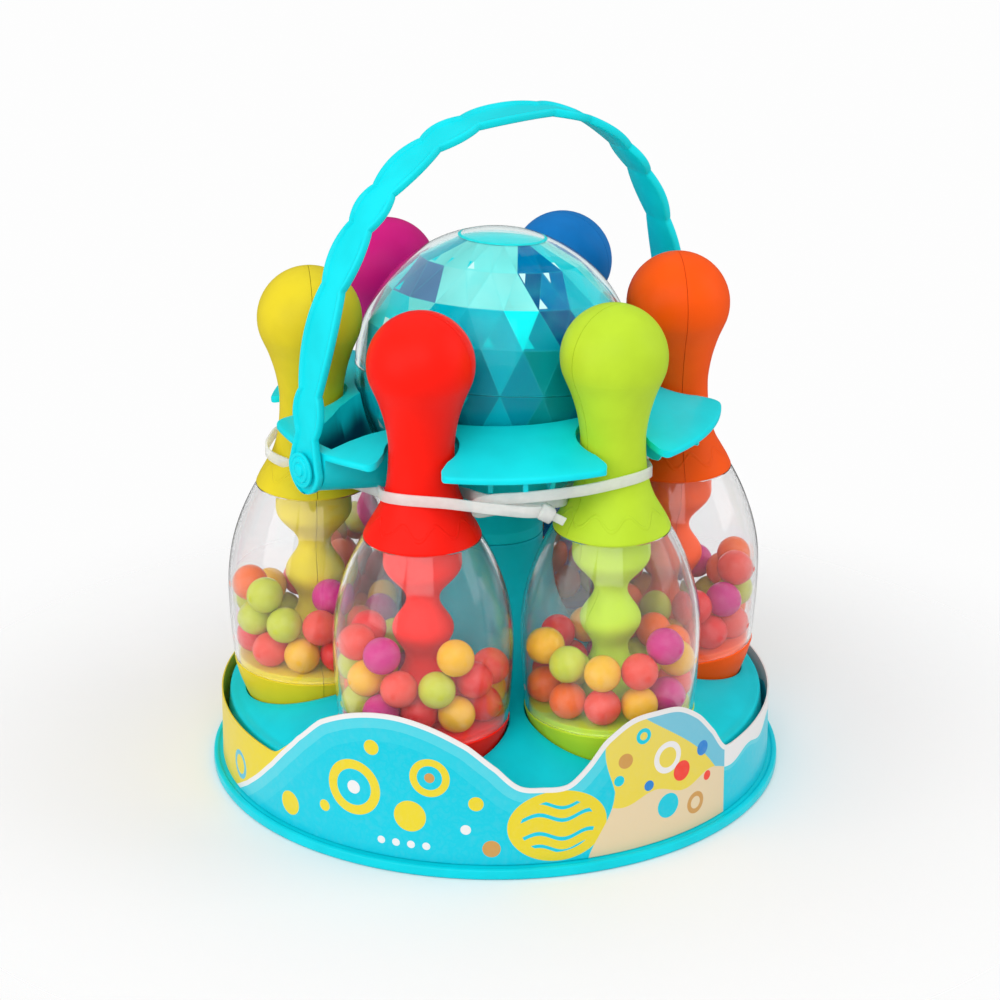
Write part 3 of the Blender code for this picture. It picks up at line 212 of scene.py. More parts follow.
def seat(piece, body, slot, finish, *nodes):
    piece.data.materials.clear()
    piece.data.materials.append(finish)
    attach(piece, body)
    if nodes:
        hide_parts(*nodes)


# Shader maths on sockets

class Wire:
    def __init__(self, finish, socket):
        self.finish, self.socket = finish, socket

    def out(self, name):
        return Wire(self.finish, self.socket.node.outputs[name])

    def maths(self, operation, *values):
        return self.finish.node("ShaderNodeMath", {"operation": operation}, *values)

    def __add__(self, other):
        return self.maths("ADD", self, other)

    def __sub__(self, other):
        return self.maths("SUBTRACT", self, other)

    def __rsub__(self, other):
        return self.maths("SUBTRACT", other, self)

    def __mul__(self, other):
        return self.maths("MULTIPLY", self, other)

    def __truediv__(self, other):
        return self.maths("DIVIDE", self, other)

    def __pow__(self, other):
        return self.maths("POWER", self, other)

    def least(self, other):
        return self.maths("MINIMUM", self, other)

    def most(self, other):
        return self.maths("MAXIMUM", self, other)

    def size(self):
        return self.maths("ABSOLUTE", self)

    def root(self):
        return self.maths("SQRT", self)

    def sine(self):
        return self.maths("SINE", self)

    def ramp(self, low, high):  # 0 below low, 1 above high
        settings = {"clamp": True, "interpolation_type": "SMOOTHSTEP"}
        return self.finish.node("ShaderNodeMapRange", settings, self, low, high, 0.0, 1.0)

    __radd__ = __add__
    __rmul__ = __mul__


class Finish:
    def __init__(self, name, **fixed):
        self.material = bpy.data.materials.new(name)
        self.material.use_nodes = True
        self.tree = self.material.node_tree
        self.shader = self.tree.nodes["Principled BSDF"]
        self.output = self.tree.nodes["Material Output"]
        for key, value in fixed.items():
            self.shader.inputs[key.replace("_", " ")].default_value = value

    def feed(self, socket, value):
        if isinstance(value, Wire):
            self.tree.links.new(value.socket, socket)
        elif isinstance(value, (tuple, list)) and socket.type == "RGBA" and len(value) == 3:
            socket.default_value = (*value, 1.0)
        else:
            socket.default_value = value

    def node(self, kind, settings=None, *values, out=0, **named):
        made = self.tree.nodes.new(kind)
        for key, value in (settings or {}).items():
            setattr(made, key, value)
        for socket, value in zip(made.inputs, values):
            self.feed(socket, value)
        for key, value in named.items():
            self.feed(made.inputs[key.replace("_", " ")], value)
        return Wire(self, made.outputs[out])

    def place(self):
        return self.node("ShaderNodeTexCoord", out="Object")

    def noise(self, scale, detail=2.0):
        return self.node("ShaderNodeTexNoise", {}, Vector=self.place(), Scale=scale, Detail=detail)

    def mix(self, share, one, other):
        made = self.node("ShaderNodeMix", {"data_type": "RGBA"}, out=2)
        sockets = made.socket.node.inputs
        for socket, value in ((sockets[0], share), (sockets[6], one), (sockets[7], other)):
            self.feed(socket, value)
        return made

    def set(self, **named):
        for key, value in named.items():
            self.feed(self.shader.inputs[key.replace("_", " ")], value)

    def bump(self, height, depth, strength):  # depth in metres
        self.set(Normal=self.node("ShaderNodeBump", {}, Strength=strength, Distance=depth, Height=height))

    def overlay(self, share, other):  # another shader over the plain one
        plain = Wire(self, self.shader.outputs[0])
        self.feed(self.output.inputs[0], self.node("ShaderNodeMixShader", {}, share, plain, other))


def tinted(colour, factor):
    return tuple(min(1.0, c * factor) for c in colour)


plasticLooks = {
    "cloud": 45, "cloudRange": (0.3, 0.7), "cloudShare": 0.05, "cloudRough": 0.12,
    "scuff": 380, "scuffRough": 0.1, "grain": 2400, "grainDepth": 0.00004,
}


def plasticFinish(name, colour, rough, grainStrength=0.5, shine=0.16):
    look = plasticLooks
    finish = Finish(name, IOR=1.48, Specular_IOR_Level=shine)
    cloud, scuff = finish.noise(look["cloud"], 3.0), finish.noise(look["scuff"], 4.0)
    dark, light = tinted(colour, 1 - look["cloudShare"]), tinted(colour, 1 + look["cloudShare"])
    finish.set(Base_Color=finish.mix(cloud.ramp(*look["cloudRange"]), dark, light))
    finish.set(Roughness=(cloud - 0.5) * look["cloudRough"] + (scuff - 0.5) * look["scuffRough"] + rough)
    if grainStrength:
        finish.bump(finish.noise(look["grain"], 1.0), look["grainDepth"], grainStrength)
    return finish


troughShadeLooks = {  # painted shade in the two handle troughs: a start, width there and taper each for mouth and wall, then soft ranges in millimetres; deep is the painted shade colour
    "deep": (0.002, 0.075, 0.135), "mouth": (62, 20.0, 0.3), "wall": (56, 17.2, 0.176), "flare": 14,
    "edge": (-1.7, -1.0), "inner": (46.0, 60.0), "outer": (93.0, 93.6), "top": (176.5, 188.0), "slope": 0.22,
}


def carrierFinish():  # painted shade: the moulding is darker down in the two handle troughs, where shade falls
    look = troughShadeLooks
    finish = plasticFinish("bowlPlastic", turquoise, 0.36)
    parts = finish.node("ShaderNodeSeparateXYZ", {}, finish.place())
    along, across, up = parts.out("X").size() / mm, parts.out("Y").size() / mm, parts.out("Z") / mm
    (mouthStart, mouth, mouthTaper), (wallStart, wall, wallTaper) = look["mouth"], look["wall"]
    wide = mouth - (along - mouthStart).most(0.0) * mouthTaper
    narrow = wall - (along - wallStart) * wallTaper
    rise = up - pivotHeight
    half = narrow + rise.most(0.0) / look["flare"] * (wide - narrow)
    below = rise.least(0.0)
    # sunk is the mask of the painted shade down in the troughs
    sunk = 1 - ((across * across + below * below).root() - half).ramp(*look["edge"])
    sunk = sunk * along.ramp(*look["inner"]) * (1 - along.ramp(*look["outer"]))
    sunk = sunk * (1 - (up + along * look["slope"]).ramp(*look["top"]))
    paint = Wire(finish, finish.shader.inputs["Base Color"].links[0].from_socket)
    # mixes the painted shade colour into the paint
    finish.set(Base_Color=finish.mix(sunk, paint, look["deep"]))
    return finish


pinLooks = {
    "rough": 0.47, "line": 141.5, "swing": 2.6, "waves": 9, "width": 0.9, "edge": (0.4, 1.0),
    "grain": 0.1, "depth": 0.0004, "strength": 0.5,
}


def pinFinish(name, colour, degrees):  # a wavy relief line runs round the skirt
    look = pinLooks
    finish = plasticFinish(name, colour, look["rough"], 0)
    centre = at(degrees, pinSizes["ring"])
    mapped = finish.node("ShaderNodeMapping", {}, finish.place(), tuple(-centre * mm))
    parts = finish.node("ShaderNodeSeparateXYZ", {}, mapped)
    turn = finish.node("ShaderNodeMath", {"operation": "ARCTAN2"}, parts.out("Y"), parts.out("X"))
    wave = (turn * look["waves"]).sine() * look["swing"]
    away = (parts.out("Z") / mm - look["line"] - wave).size()
    ridge = 1 - (away / look["width"]).ramp(*look["edge"])
    grain = finish.noise(plasticLooks["grain"], 1.0)
    finish.bump(ridge + grain * look["grain"], look["depth"], look["strength"])
    return finish


glassLooks = {"smear": 30, "smearRange": (0.45, 0.9), "smearRough": 0.02, "veil": 1.01}


def glassFinish(name, tint, rough=0.02, clear=0.98, bend=1.40):  # clear plastic that casts a faint shadow
    look = glassLooks
    finish = Finish(name, Transmission_Weight=clear, IOR=bend)
    smear = finish.noise(look["smear"]).ramp(*look["smearRange"])
    finish.set(Base_Color=tint, Roughness=smear * look["smearRough"] + rough)
    shadow = finish.node("ShaderNodeLightPath", out="Is Shadow Ray")
    finish.overlay(shadow, finish.node("ShaderNodeBsdfTransparent", {}, tinted(tint, look["veil"])))
    return finish


beadLooks = {
    "cloud": 220, "cloudRange": (0.3, 0.8), "cloudShare": 0.05, "cloudRough": 0.12, "rough": 0.16,
    "grain": 900, "grainDepth": 0.00003,
}


def beadFinish():
    look = beadLooks
    finish = Finish("beadPlastic", IOR=1.48, Specular_IOR_Level=0.2, Coat_Weight=0.06)
    tint = finish.node("ShaderNodeAttribute", {"attribute_name": "tint"}, out="Color")
    cloud = finish.noise(look["cloud"])
    pale = cloud.ramp(*look["cloudRange"]) * look["cloudShare"]
    finish.set(Base_Color=finish.mix(pale, tint, (1.0, 1.0, 1.0)))
    finish.set(Roughness=cloud * look["cloudRough"] + look["rough"])
    finish.bump(finish.noise(look["grain"]), look["grainDepth"], 0.5)
    return finish


linerLooks = {  # ranges are shares of a facet, from its sides and corners; edge and glint set the painted highlight lines along the facet edges and the painted highlight in a corner
    "edge": (0.004, 0.022), "edgeHighlightShare": 0.22, "edgeHighlightColour": (0.04, 0.62, 0.64),
    "streak": 70, "streakRange": (0.45, 0.85), "streakShare": 0.25, "streakColour": (0.02, 0.60, 0.62),
    "glint": (0.66, 0.68), "glintSide": (0.05, 0.07), "streakRough": 0.06, "rough": 0.04,
}


def facetFinish():  # tinted plastic whose facets each carry a painted tone, the painted reflections and view through the liner, with painted highlight lines on their edges and on some a painted highlight in one corner
    look = linerLooks
    finish = Finish("linerPlastic", IOR=1.45, Specular_IOR_Level=0.07, Transmission_Weight=0.1)
    paintedTone = finish.node("ShaderNodeAttribute", {"attribute_name": "paintedTone"}, out="Color")
    glint = finish.node("ShaderNodeAttribute", {"attribute_name": "glint"}, out="Color")
    parts = finish.node("ShaderNodeSeparateXYZ", {}, finish.node("ShaderNodeUVMap", {"uv_map": "facet"}))
    one, two = parts.out("X"), parts.out("Y")
    three = 1 - one - two
    # painted highlight lines along the facet edges
    edge = 1 - one.least(two).least(three).ramp(*look["edge"])
    streak = finish.noise(look["streak"], 3.0)
    streaked = streak.ramp(*look["streakRange"]) * look["streakShare"]
    # painted highlight in one corner, coloured by the glint attribute
    corner = one.ramp(*look["glint"]) * three.ramp(*look["glintSide"])
    paint = finish.mix(streaked, paintedTone, look["streakColour"])
    paint = finish.mix(corner, paint, glint)
    paint = finish.mix(edge * look["edgeHighlightShare"], paint, look["edgeHighlightColour"])
    finish.set(Base_Color=paint, Roughness=streak * look["streakRough"] + look["rough"])
    return finish


nylonLooks = {
    "cloud": 140, "dull": (0.84, 0.85, 0.82), "bright": (0.94, 0.95, 0.92), "cloudRough": 0.15, "rough": 0.25,
    "clearRange": (0.2, 0.8), "clearShare": 0.08, "clear": 0.50, "grain": 1500, "grainDepth": 0.00004,
}


def nylonFinish():
    look = nylonLooks
    finish = Finish("nylonStrap", IOR=1.5)
    cloud = finish.noise(look["cloud"], 3.0)
    finish.set(Base_Color=finish.mix(cloud, look["dull"], look["bright"]))
    finish.set(Roughness=cloud * look["cloudRough"] + look["rough"])
    finish.set(Alpha=cloud.ramp(*look["clearRange"]) * look["clearShare"] + look["clear"])
    finish.bump(finish.noise(look["grain"]), look["grainDepth"], 0.4)
    return finish


steelLooks = {
    "cloud": 900, "dull": (0.48, 0.49, 0.5), "bright": (0.6, 0.61, 0.63), "cloudRough": 0.2, "rough": 0.25,
}


def steelFinish():
    look = steelLooks
    finish = Finish("screwSteel", Metallic=1.0)
    cloud = finish.noise(look["cloud"], 3.0)
    finish.set(Base_Color=finish.mix(cloud, look["dull"], look["bright"]))
    finish.set(Roughness=cloud * look["cloudRough"] + look["rough"])
    return finish


# Colours, as light values
pinColours = {
    "blue": (0.0, 0.18, 0.54), "magenta": (0.60, 0.004, 0.19), "yellow": (0.75, 0.60, 0.018),
    "red": (1.0, 0.008, 0.001), "green": (0.50, 0.72, 0.03), "orange": (1.0, 0.095, 0.0),
}
beadColours = {
    "lime": (0.54, 0.59, 0.03), "amber": (0.88, 0.46, 0.004), "coral": (0.84, 0.06, 0.035),
    "red": (0.80, 0.008, 0.008), "orange": (0.90, 0.14, 0.006), "magenta": (0.60, 0.005, 0.21),
}
turquoise = (0.003, 0.72, 0.80)
# a darker copy of the turquoise: painted shade for the tray, which lies in the shade of the pins
trayShadedTurquoise = (0.001, 0.62, 0.72)
discTurquoise = (0.02, 0.62, 0.64)
shellTint = (0.955, 0.958, 0.962)
ballTint = (0.90, 0.99, 0.99)

handlePlastic = plasticFinish("carrierPlastic", turquoise, 0.36).material
carrierPlastic = carrierFinish().material
trayPlastic = plasticFinish("trayPlastic", trayShadedTurquoise, 0.36).material
shellPlastic = glassFinish("clearPlastic", shellTint).material
ballPlastic = glassFinish("ballPlastic", ballTint, rough=0.01, clear=1.0, bend=1.14).material
linerPlastic = facetFinish().material
discPlastic = plasticFinish("discPlastic", discTurquoise, 0.4, grainStrength=0.3, shine=0.02).material
beadPlastic = beadFinish().material
nylonStrap = nylonFinish().material
screwSteel = steelFinish().material
print("materials done")


# Pins

pinSizes = {
    "ring": 79.7, "first": 30, "headRadius": 22.3, "headCentre": 207.5, "wall": 1.8, "seam": 0.1, "steps": 36,
    "shellWall": 1.6, "shellTop": (24.8, 133.0), "shellWaist": (38.2, 86.6), "shellFoot": (36.2, 52.5),
}
# Radius and height of each turn of the spindle, from the skirt down to the cap
spindleTurns = ((16.0, 133.3), (16.5, 121.0), (6.9, 105.0), (13.0, 91.5), (7.5, 78.7), (17.0, 58.0))


def pinAngle(index):
    return pinSizes["first"] + 60 * index


def swell(start, end, steps):
    points = []
    for index in range(1, steps + 1):
        share = index / steps
        radius = between(start[0], end[0], (1 - math.cos(math.pi * share)) / 2)
        points.append((radius, between(start[1], end[1], share)))
    return points


def pinBody():  # section of the coloured core, down its outside and back up its hollow
    sizes = pinSizes
    crown = arc(0, sizes["headCentre"], sizes["headRadius"], 90, -17, 22)
    neck = [(20.0, 197.7), (17.7, 192.2), (15.2, 183.8), (13.8, 175.6), (13.6, 170.0), (14.0, 162.5),
            (15.1, 154.5), (17.6, 147.0), (20.4, 141.9), (23.0, 137.4), (24.6, 134.0)]
    curve = throughPoints([crown[-2], crown[-1]] + neck, 4)[4:]
    lip = softened([(24.6, 134.0), (24.6, 133.3), (16.0, 133.3), (16.4, 128.0)], 0.6)[1:-1]
    spindle = [spindleTurns[0]]
    for start, end, steps in zip(spindleTurns, spindleTurns[1:], (2, 8, 8, 8, 10)):
        spindle += swell(start, end, steps)
    foot = softened([(17.0, 57.0), (17.2, 55.0), (34.3, 55.0), (34.3, 52.2), (36.5, 52.2), (34.4, 44.5),
                     (31.6, 37.0), (28.2, 28.0), (26.0, 28.0), (0.0, 28.0)], 0.8)
    hollow = [(0, 30), (25, 30), (32.4, 51), (15, 53.2), (5.6, 78.7), (5.1, 105), (14.6, 121), (11.9, 170)]
    hollow += arc(0, sizes["headCentre"], sizes["headRadius"] - sizes["wall"], -25, 90, 5)
    return crown + curve[1:] + lip + spindle + foot[1:] + hollow


def shellCurve(inset, steps):  # two parabolas, from the skirt to the waist and on to the cap
    top, (wide, middle), foot = pinSizes["shellTop"], pinSizes["shellWaist"], pinSizes["shellFoot"]
    shares = [(top, 1 - index / steps) for index in range(steps + 1)]
    shares += [(foot, index / (steps // 2)) for index in range(1, steps // 2 + 1)]
    return [(between(end[0], wide, 1 - s * s) - inset, between(middle, end[1], s)) for end, s in shares]


def shellBody():
    wall = pinSizes["shellWall"]
    outside, inside = shellCurve(0, 18), shellCurve(wall, 12)
    rim = [(outside[0][0] - wall / 2, outside[0][1] + 0.25)]
    return outside + inside[::-1] + rim


beadSizes = {
    "radius": 7.75, "floor": 55.0, "ring": 26.4, "count": 24, "layers": (63, 77, 89), "filled": (11, 19),
    "apart": 33, "stagger": 11, "loose": 6, "rounds": 400, "sink": 0.12, "sinking": 0.9, "push": 0.45, "seed": 40,
}
# Beads that the photo shows: direction round the pin, height, colour
knownBeads = {
    "red": ((240, 76, "lime"), (263, 80, "amber"), (258, 63, "amber"), (223, 64, "red"), (188, 65, "magenta"),
            (159, 76, "lime"), (197, 87, "magenta"), (296, 63, "red"), (325, 66, "amber"), (26, 66, "red"),
            (356, 64, "coral"), (150, 63, "lime"), (97, 63, "amber"), (280, 77, "red"), (212, 78, "coral"),
            (60, 63, "magenta"), (124, 63, "orange"), (310, 76, "coral"), (175, 76, "amber")),
    "green": ((173, 87, "amber"), (82, 64, "red"), (55, 64, "magenta"), (234, 80, "amber"), (4, 77, "orange"),
              (280, 82, "magenta"), (325, 76, "orange"), (322, 63, "coral"), (289, 64, "magenta"),
              (253, 65, "amber"), (218, 65, "coral"), (186, 65, "orange"), (178, 75, "lime"),
              (352, 63, "amber"), (24, 63, "lime"), (118, 63, "coral"), (150, 63, "orange"), (256, 77, "coral"),
              (303, 76, "amber")),
    "yellow": ((150, 63, "red"), (183, 64, "coral"), (216, 63, "amber"), (249, 63, "red"), (282, 63, "coral"),
               (315, 63, "magenta"), (348, 63, "lime"), (21, 63, "orange"), (54, 63, "amber"), (87, 63, "lime"),
               (118, 63, "magenta"), (166, 77, "lime"), (200, 77, "lime"), (232, 77, "coral"),
               (265, 77, "coral"), (298, 77, "magenta"), (182, 88, "lime"), (335, 76, "amber"),
               (250, 88, "magenta")),
    "orange": ((270, 63, "red"), (303, 63, "coral"), (336, 63, "orange"), (9, 63, "lime"), (42, 63, "red"),
               (75, 63, "amber"), (108, 63, "coral"), (141, 63, "magenta"), (174, 63, "lime"),
               (207, 63, "orange"), (240, 63, "amber"), (285, 77, "magenta"), (320, 77, "lime"),
               (352, 77, "orange"), (255, 77, "red"), (304, 88, "coral"), (222, 77, "lime"),
               (20, 77, "magenta"), (335, 88, "orange")),
}


def pileOfBeads(name, index):  # lets the beads of one pin sink and push each other apart
    sizes = beadSizes
    draw = np.random.default_rng(sizes["seed"] + index)
    names = list(beadColours)
    low, middle, high = sizes["layers"]
    known = list(knownBeads.get(name, ()))
    turns = 0
    while len(known) < sizes["count"]:
        turns += 1
        layer = low if len(known) < sizes["filled"][0] else middle if len(known) < sizes["filled"][1] else high
        stagger = 0 if layer == low else sizes["stagger"]
        angle = sizes["apart"] * turns + stagger + sizes["loose"] * draw.random()
        known.append((angle, layer, names[int(draw.integers(len(names)))]))
    places = np.array([[*(at(angle, sizes["ring"]))[:2], height] for angle, height, _ in known])
    spindleRadii, spindleHeights = zip(*reversed(spindleTurns))
    wallRadii, wallHeights = zip(*reversed(shellCurve(pinSizes["shellWall"], 18)))
    radius = sizes["radius"]
    for step in range(sizes["rounds"]):
        places[:, 2] -= sizes["sink"] if step < sizes["rounds"] * sizes["sinking"] else 0.0
        gap = places[:, None] - places[None]
        distance = np.sqrt((gap ** 2).sum(2)) + 1e-6
        push = np.maximum(2 * radius - distance, 0)
        np.fill_diagonal(push, 0)
        places += (gap / distance[..., None] * push[..., None]).sum(1) * sizes["push"]
        flat = np.hypot(places[:, 0], places[:, 1])
        outer = np.interp(places[:, 2], wallHeights, wallRadii) - radius
        inner = np.interp(places[:, 2], spindleHeights, spindleRadii) + radius
        wanted = np.minimum(np.maximum(flat, inner), outer)
        places[:, :2] *= (wanted / flat)[:, None]
        places[:, 2] = np.maximum(places[:, 2], sizes["floor"] + radius)
    return places, [beadColours[colour] for _, _, colour in known]


def beadTree():  # Geometry Nodes: a ball on every point, made real and given its finish
    tree = bpy.data.node_groups.new("beads", "GeometryNodeTree")
    for name, way, kind in (("Points", "INPUT", "Geometry"), ("Radius", "INPUT", "Float"),
                            ("Finish", "INPUT", "Material"), ("Beads", "OUTPUT", "Geometry")):
        tree.interface.new_socket(name, in_out=way, socket_type="NodeSocket" + kind)
    kinds = {
        "given": "NodeGroupInput", "ball": "GeometryNodeMeshIcoSphere", "smooth": "GeometryNodeSetShadeSmooth",
        "spread": "GeometryNodeInstanceOnPoints", "real": "GeometryNodeRealizeInstances",
        "paint": "GeometryNodeSetMaterial", "result": "NodeGroupOutput",
    }
    nodes = {name: tree.nodes.new(kind) for name, kind in kinds.items()}
    nodes["ball"].inputs["Subdivisions"].default_value = 4
    for start, leaving, end, entering in (
        ("given", "Radius", "ball", "Radius"), ("given", "Points", "spread", "Points"),
        ("ball", "Mesh", "smooth", "Geometry"), ("smooth", "Geometry", "spread", "Instance"),
        ("spread", "Instances", "real", "Geometry"), ("real", "Geometry", "paint", "Geometry"),
        ("given", "Finish", "paint", "Material"), ("paint", "Geometry", "result", "Beads"),
    ):
        tree.links.new(nodes[start].outputs[leaving], nodes[end].inputs[entering])
    return tree


def grown(name, points, tints, tree, values):  # runs a tree on loose points that carry a tint each
    mesh = bpy.data.meshes.new(name)
    mesh.from_pydata([tuple(p) for p in points], [], [])
    layer = mesh.attributes.new("tint", "FLOAT_COLOR", "POINT")
    layer.data.foreach_set("color", [v for tint in tints for v in (*tint, 1.0)])
    piece = bpy.data.objects.new(name, mesh)
    bpy.context.collection.objects.link(piece)
    step = piece.modifiers.new(name, "NODES")
    step.node_group = tree
    sockets = {item.name: item.identifier for item in tree.interface.items_tree if item.item_type == "SOCKET"}
    for key, value in values.items():
        step[sockets[key]] = value
    return baked(piece)


def makePin(index, name, tree):
    angle, steps = pinAngle(index), pinSizes["steps"]
    centre = at(angle, pinSizes["ring"])
    body = "pin_" + name
    finish = pinFinish(name + "Plastic", pinColours[name], angle).material
    for side, start, shift in (("outer", -90, 1), ("inner", 90, -1)):
        half = spun(pinBody(), steps, math.pi, math.radians(angle + start))
        core = addPiece(f"{name}_core_{side}", moved(half, 0, centre + at(angle, shift * pinSizes["seam"])))
        seat(core, body, "pin_" + name, finish, f"pin_{name}_core_{side}")
    shell = addPiece(name + "_shell", moved(spun(shellBody(), steps), 0, centre))
    seat(shell, body, "pin_clear", shellPlastic, f"pin_{name}_shell_outer", f"pin_{name}_shell_inner")
    places, tints = pileOfBeads(name, index)
    values = {"Radius": beadSizes["radius"] * mm, "Finish": beadPlastic}
    beads = grown(f"{name}_beads", [(Vector(p) + centre) * mm for p in places], tints, tree, values)
    seat(beads, body, "beads", beadPlastic, f"pin_{name}_beads")


beadGrower = beadTree()
for pinIndex, pinName in enumerate(pinNames):
    makePin(pinIndex, pinName, beadGrower)
print("pins done")


# Tray

traySizes = {
    "flange": 126.8, "lip": 4.8, "foot": 121.2, "rim": 118.5, "rimHeight": 35.0, "wall": 2.2, "steps": 180,
    "columnTop": 106.7, "column": 20.9, "spare": 0.8, "seat": 27.7, "screwHole": 2.3,
}
# Sections as radius and height: over the tray's top, under it, and up the side of a cup
trayTop = ((20.9, 106.7), (21.2, 97.0), (22.6, 88.0), (25.2, 78.0), (29.5, 68.0), (36.5, 59.0), (46.0, 53.2),
           (60.0, 50.0), (74.0, 48.6), (87.0, 46.0), (102.0, 40.6), (112.0, 36.4))
trayUnder = ((0, -4), (119, -4), (119, 4.8), (116.3, 31.3), (87, 43.8), (60, 47.8), (43, 53), (29, 65),
             (22.8, 79), (18.7, 92), (18.7, 104.5), (0, 104.5))
cupSide = ((28.0, 29.2), (31.6, 37.0), (34.4, 44.5), (36.5, 52.2), (38.2, 58.0))


def cups(spare, floor, steps, foot):  # the room that six pins take, with some to spare
    outline = [(0, floor), (cupSide[0][0] + spare - foot, floor), (cupSide[0][0] + spare, floor + foot)]
    outline += [(radius + spare, height) for radius, height in cupSide[1:]]
    outline += [(cupSide[-1][0] + spare, 111), (0, 111)]
    return joined([moved(spun(outline, steps), 0, at(pinAngle(i), pinSizes["ring"])) for i in range(6)])


def makeTray():
    s = traySizes
    outline = [(0.0, s["columnTop"])] + softened([(0.0, s["columnTop"]), (s["column"], s["columnTop"])], 0.4)[1:]
    outline += throughPoints(trayTop, 4)[1:]
    edge = [trayTop[-1], (114.5, s["rimHeight"]), (s["rim"], s["rimHeight"] - 0.4), (s["foot"], s["lip"]),
            (124.2, s["lip"] - 0.6), (125.0, s["lip"]), (s["flange"], s["lip"] - 0.4), (s["flange"], 0.0),
            (119.0, 0.0), (0.0, 0.0)]
    outline += softened(edge, 1.3, 4)[1:]
    tray = addPiece("tray", spun(outline, s["steps"]))
    hollow = addPiece("hollow", spun(trayUnder, 90))
    combined(hollow, cups(s["spare"] + s["wall"], s["seat"] - s["wall"], 48, 1.0), "DIFFERENCE")
    bm = bmesh.new()
    bm.from_mesh(hollow.data)
    bmesh.ops.scale(bm, vec=(1 / mm,) * 3, verts=bm.verts)
    bpy.data.objects.remove(hollow)
    combined(tray, bm, "DIFFERENCE")
    combined(tray, cups(s["spare"], s["seat"], 72, 1.5), "DIFFERENCE")
    combined(tray, spun([(0, 100), (s["screwHole"], 100), (s["screwHole"], 110), (0, 110)], 32), "DIFFERENCE")
    rounded(tray, 0.7, 2)
    seat(tray, "carrier", "tray_turquoise", trayPlastic, "base_ring", "base_tray", "tray_column")


makeTray()
print("tray done")


# Upper carrier

carrierSizes = {
    "ball": 181.9, "cradle": 61.0, "wall": 2.6, "thick": 3.0, "column": 20.9, "foot": 107.0, "steps": 180,
    "ringIn": 176.4, "ringOut": 166.8, "ringStart": 60.7, "ringRadius": 97.8, "ringTip": 4, "tipRound": 1.4,
    "bowlFrom": -66, "slot": 15.6, "mouth": 14.3, "mouthRound": 4.4, "dip": 0.8, "dipStart": 63.3, "dipHalf": 30,
    "beyond": 112,
}
troughSizes = {  # distances from the middle, half widths at two of them, and the mouth's along the way
    "start": 48, "inside": 52.5, "end": 92.9, "face": 96.9, "faceHalf": 48, "wall": 1.8, "below": 0.8,
    "above": 1.5, "wide": (56, 17.2), "narrow": (96.9, 10.0), "bore": 4.4,
    "mouths": ((56, 22.0), (62, 21.6), (70, 19.4), (77, 15.2), (85, 12.6), (92.9, 11.2), (96.9, 10.8)),
}
finSizes = {
    "lobes": (60, 120, 240, 300), "aside": 9, "half": 1, "inside": 62.3, "outside": 89, "sunk": 1.5,
    "low": ((81, 154.5), (78, 154.5), (59.7, 162)), "tab": (89, 93), "tabDeep": 6.8,
}


def ringTop(radius):  # the ring is a flat cone
    s = carrierSizes
    return between(s["ringIn"], s["ringOut"], (radius - s["ringStart"]) / (s["ringRadius"] - s["ringStart"]))


def saddled(bm):  # dips the ring between the two wings beside each handle trough
    s = carrierSizes
    for v in bm.verts:
        out = (math.hypot(v.co.x, v.co.y) - s["dipStart"]) / (s["ringRadius"] - s["dipStart"])
        if out > 0 and v.co.z > 160:
            beside = max(0.0, 1 - abs(v.co.y) / s["dipHalf"])
            v.co.z -= s["dip"] * out * beside * beside * (3 - 2 * beside)
    bmesh.ops.triangulate(bm, faces=bm.faces)
    return bm


def carrierSection():
    s = carrierSizes
    outside, rim, thick, tip = s["cradle"] + s["wall"], s["ringRadius"], s["thick"], s["ringTip"]
    ringUnder = math.degrees(math.asin((s["ringIn"] - thick - s["ball"]) / outside))
    bowl = arc(0, s["ball"], outside, s["bowlFrom"], ringUnder - 1, 16)
    foot = [(0, s["foot"]), (s["column"], s["foot"]), (s["column"], s["foot"] + 5), bowl[0]]
    radii = [68 + 5 * i for i in range(6)]
    under = [(r, ringTop(r) - thick) for r in radii]
    edge = [(rim - tip, ringTop(rim - tip) - thick), (rim, ringTop(rim) - thick), (rim, ringTop(rim)),
            (rim - tip, ringTop(rim - tip))]
    over = [(r, ringTop(r)) for r in reversed(radii)]
    inside = [(61.6, s["ringIn"]), (0, s["ringIn"])]
    return softened(foot, 0.6)[:-1] + bowl + under + softened(edge, s["tipRound"], 4)[1:-1] + over + inside


def slotPlan():  # round a pin's neck and out through the rim, with rounded corners
    s = carrierSizes
    slot, mouth, curve = s["slot"], s["mouth"], s["mouthRound"]
    reach = math.degrees(math.asin(mouth / slot))
    root, corner = [], []
    for index in range(33):
        angle = math.radians(between(-180 + reach, 180 - reach, index / 32))
        root.append((pinSizes["ring"] - slot * math.cos(angle), slot * math.sin(angle)))
    edge = math.sqrt(s["ringRadius"] * s["ringRadius"] - (mouth + curve) ** 2)
    for step in range(0, 91, 10):
        angle = math.radians(step)
        corner.append((edge - curve + curve * math.sin(angle), mouth + curve * (1 - math.cos(angle))))
    corner += [(s["beyond"], corner[-1][1])]
    return root + corner + [(x, -y) for x, y in reversed(corner)]


def troughSection(x, inset, top, count=24):
    s = troughSizes
    (near, wide), (far, narrow) = s["wide"], s["narrow"]
    radius = between(wide, narrow, (x - near) / (far - near)) - inset
    angles = [-math.pi * index / count for index in range(count + 1)]
    floor = [(x, radius * math.cos(a), pivotHeight + radius * math.sin(a)) for a in angles]
    mouth = float(np.interp(x, *zip(*s["mouths"]))) - inset
    spread = between(radius, mouth, (top - pivotHeight) / (ringTop(x) - pivotHeight))
    return floor + [(x, -spread, top), (x, spread, top)]


def troughPair(inset, start, end, over):
    stops = [start] + [x for x in range(49, 97, 3) if start + 1 < x < end - 1] + [end]
    sections = [troughSection(x, inset, ringTop(x) + over) for x in stops]
    return joined([moved(lofted(sections), turn) for turn in (0, 180)])


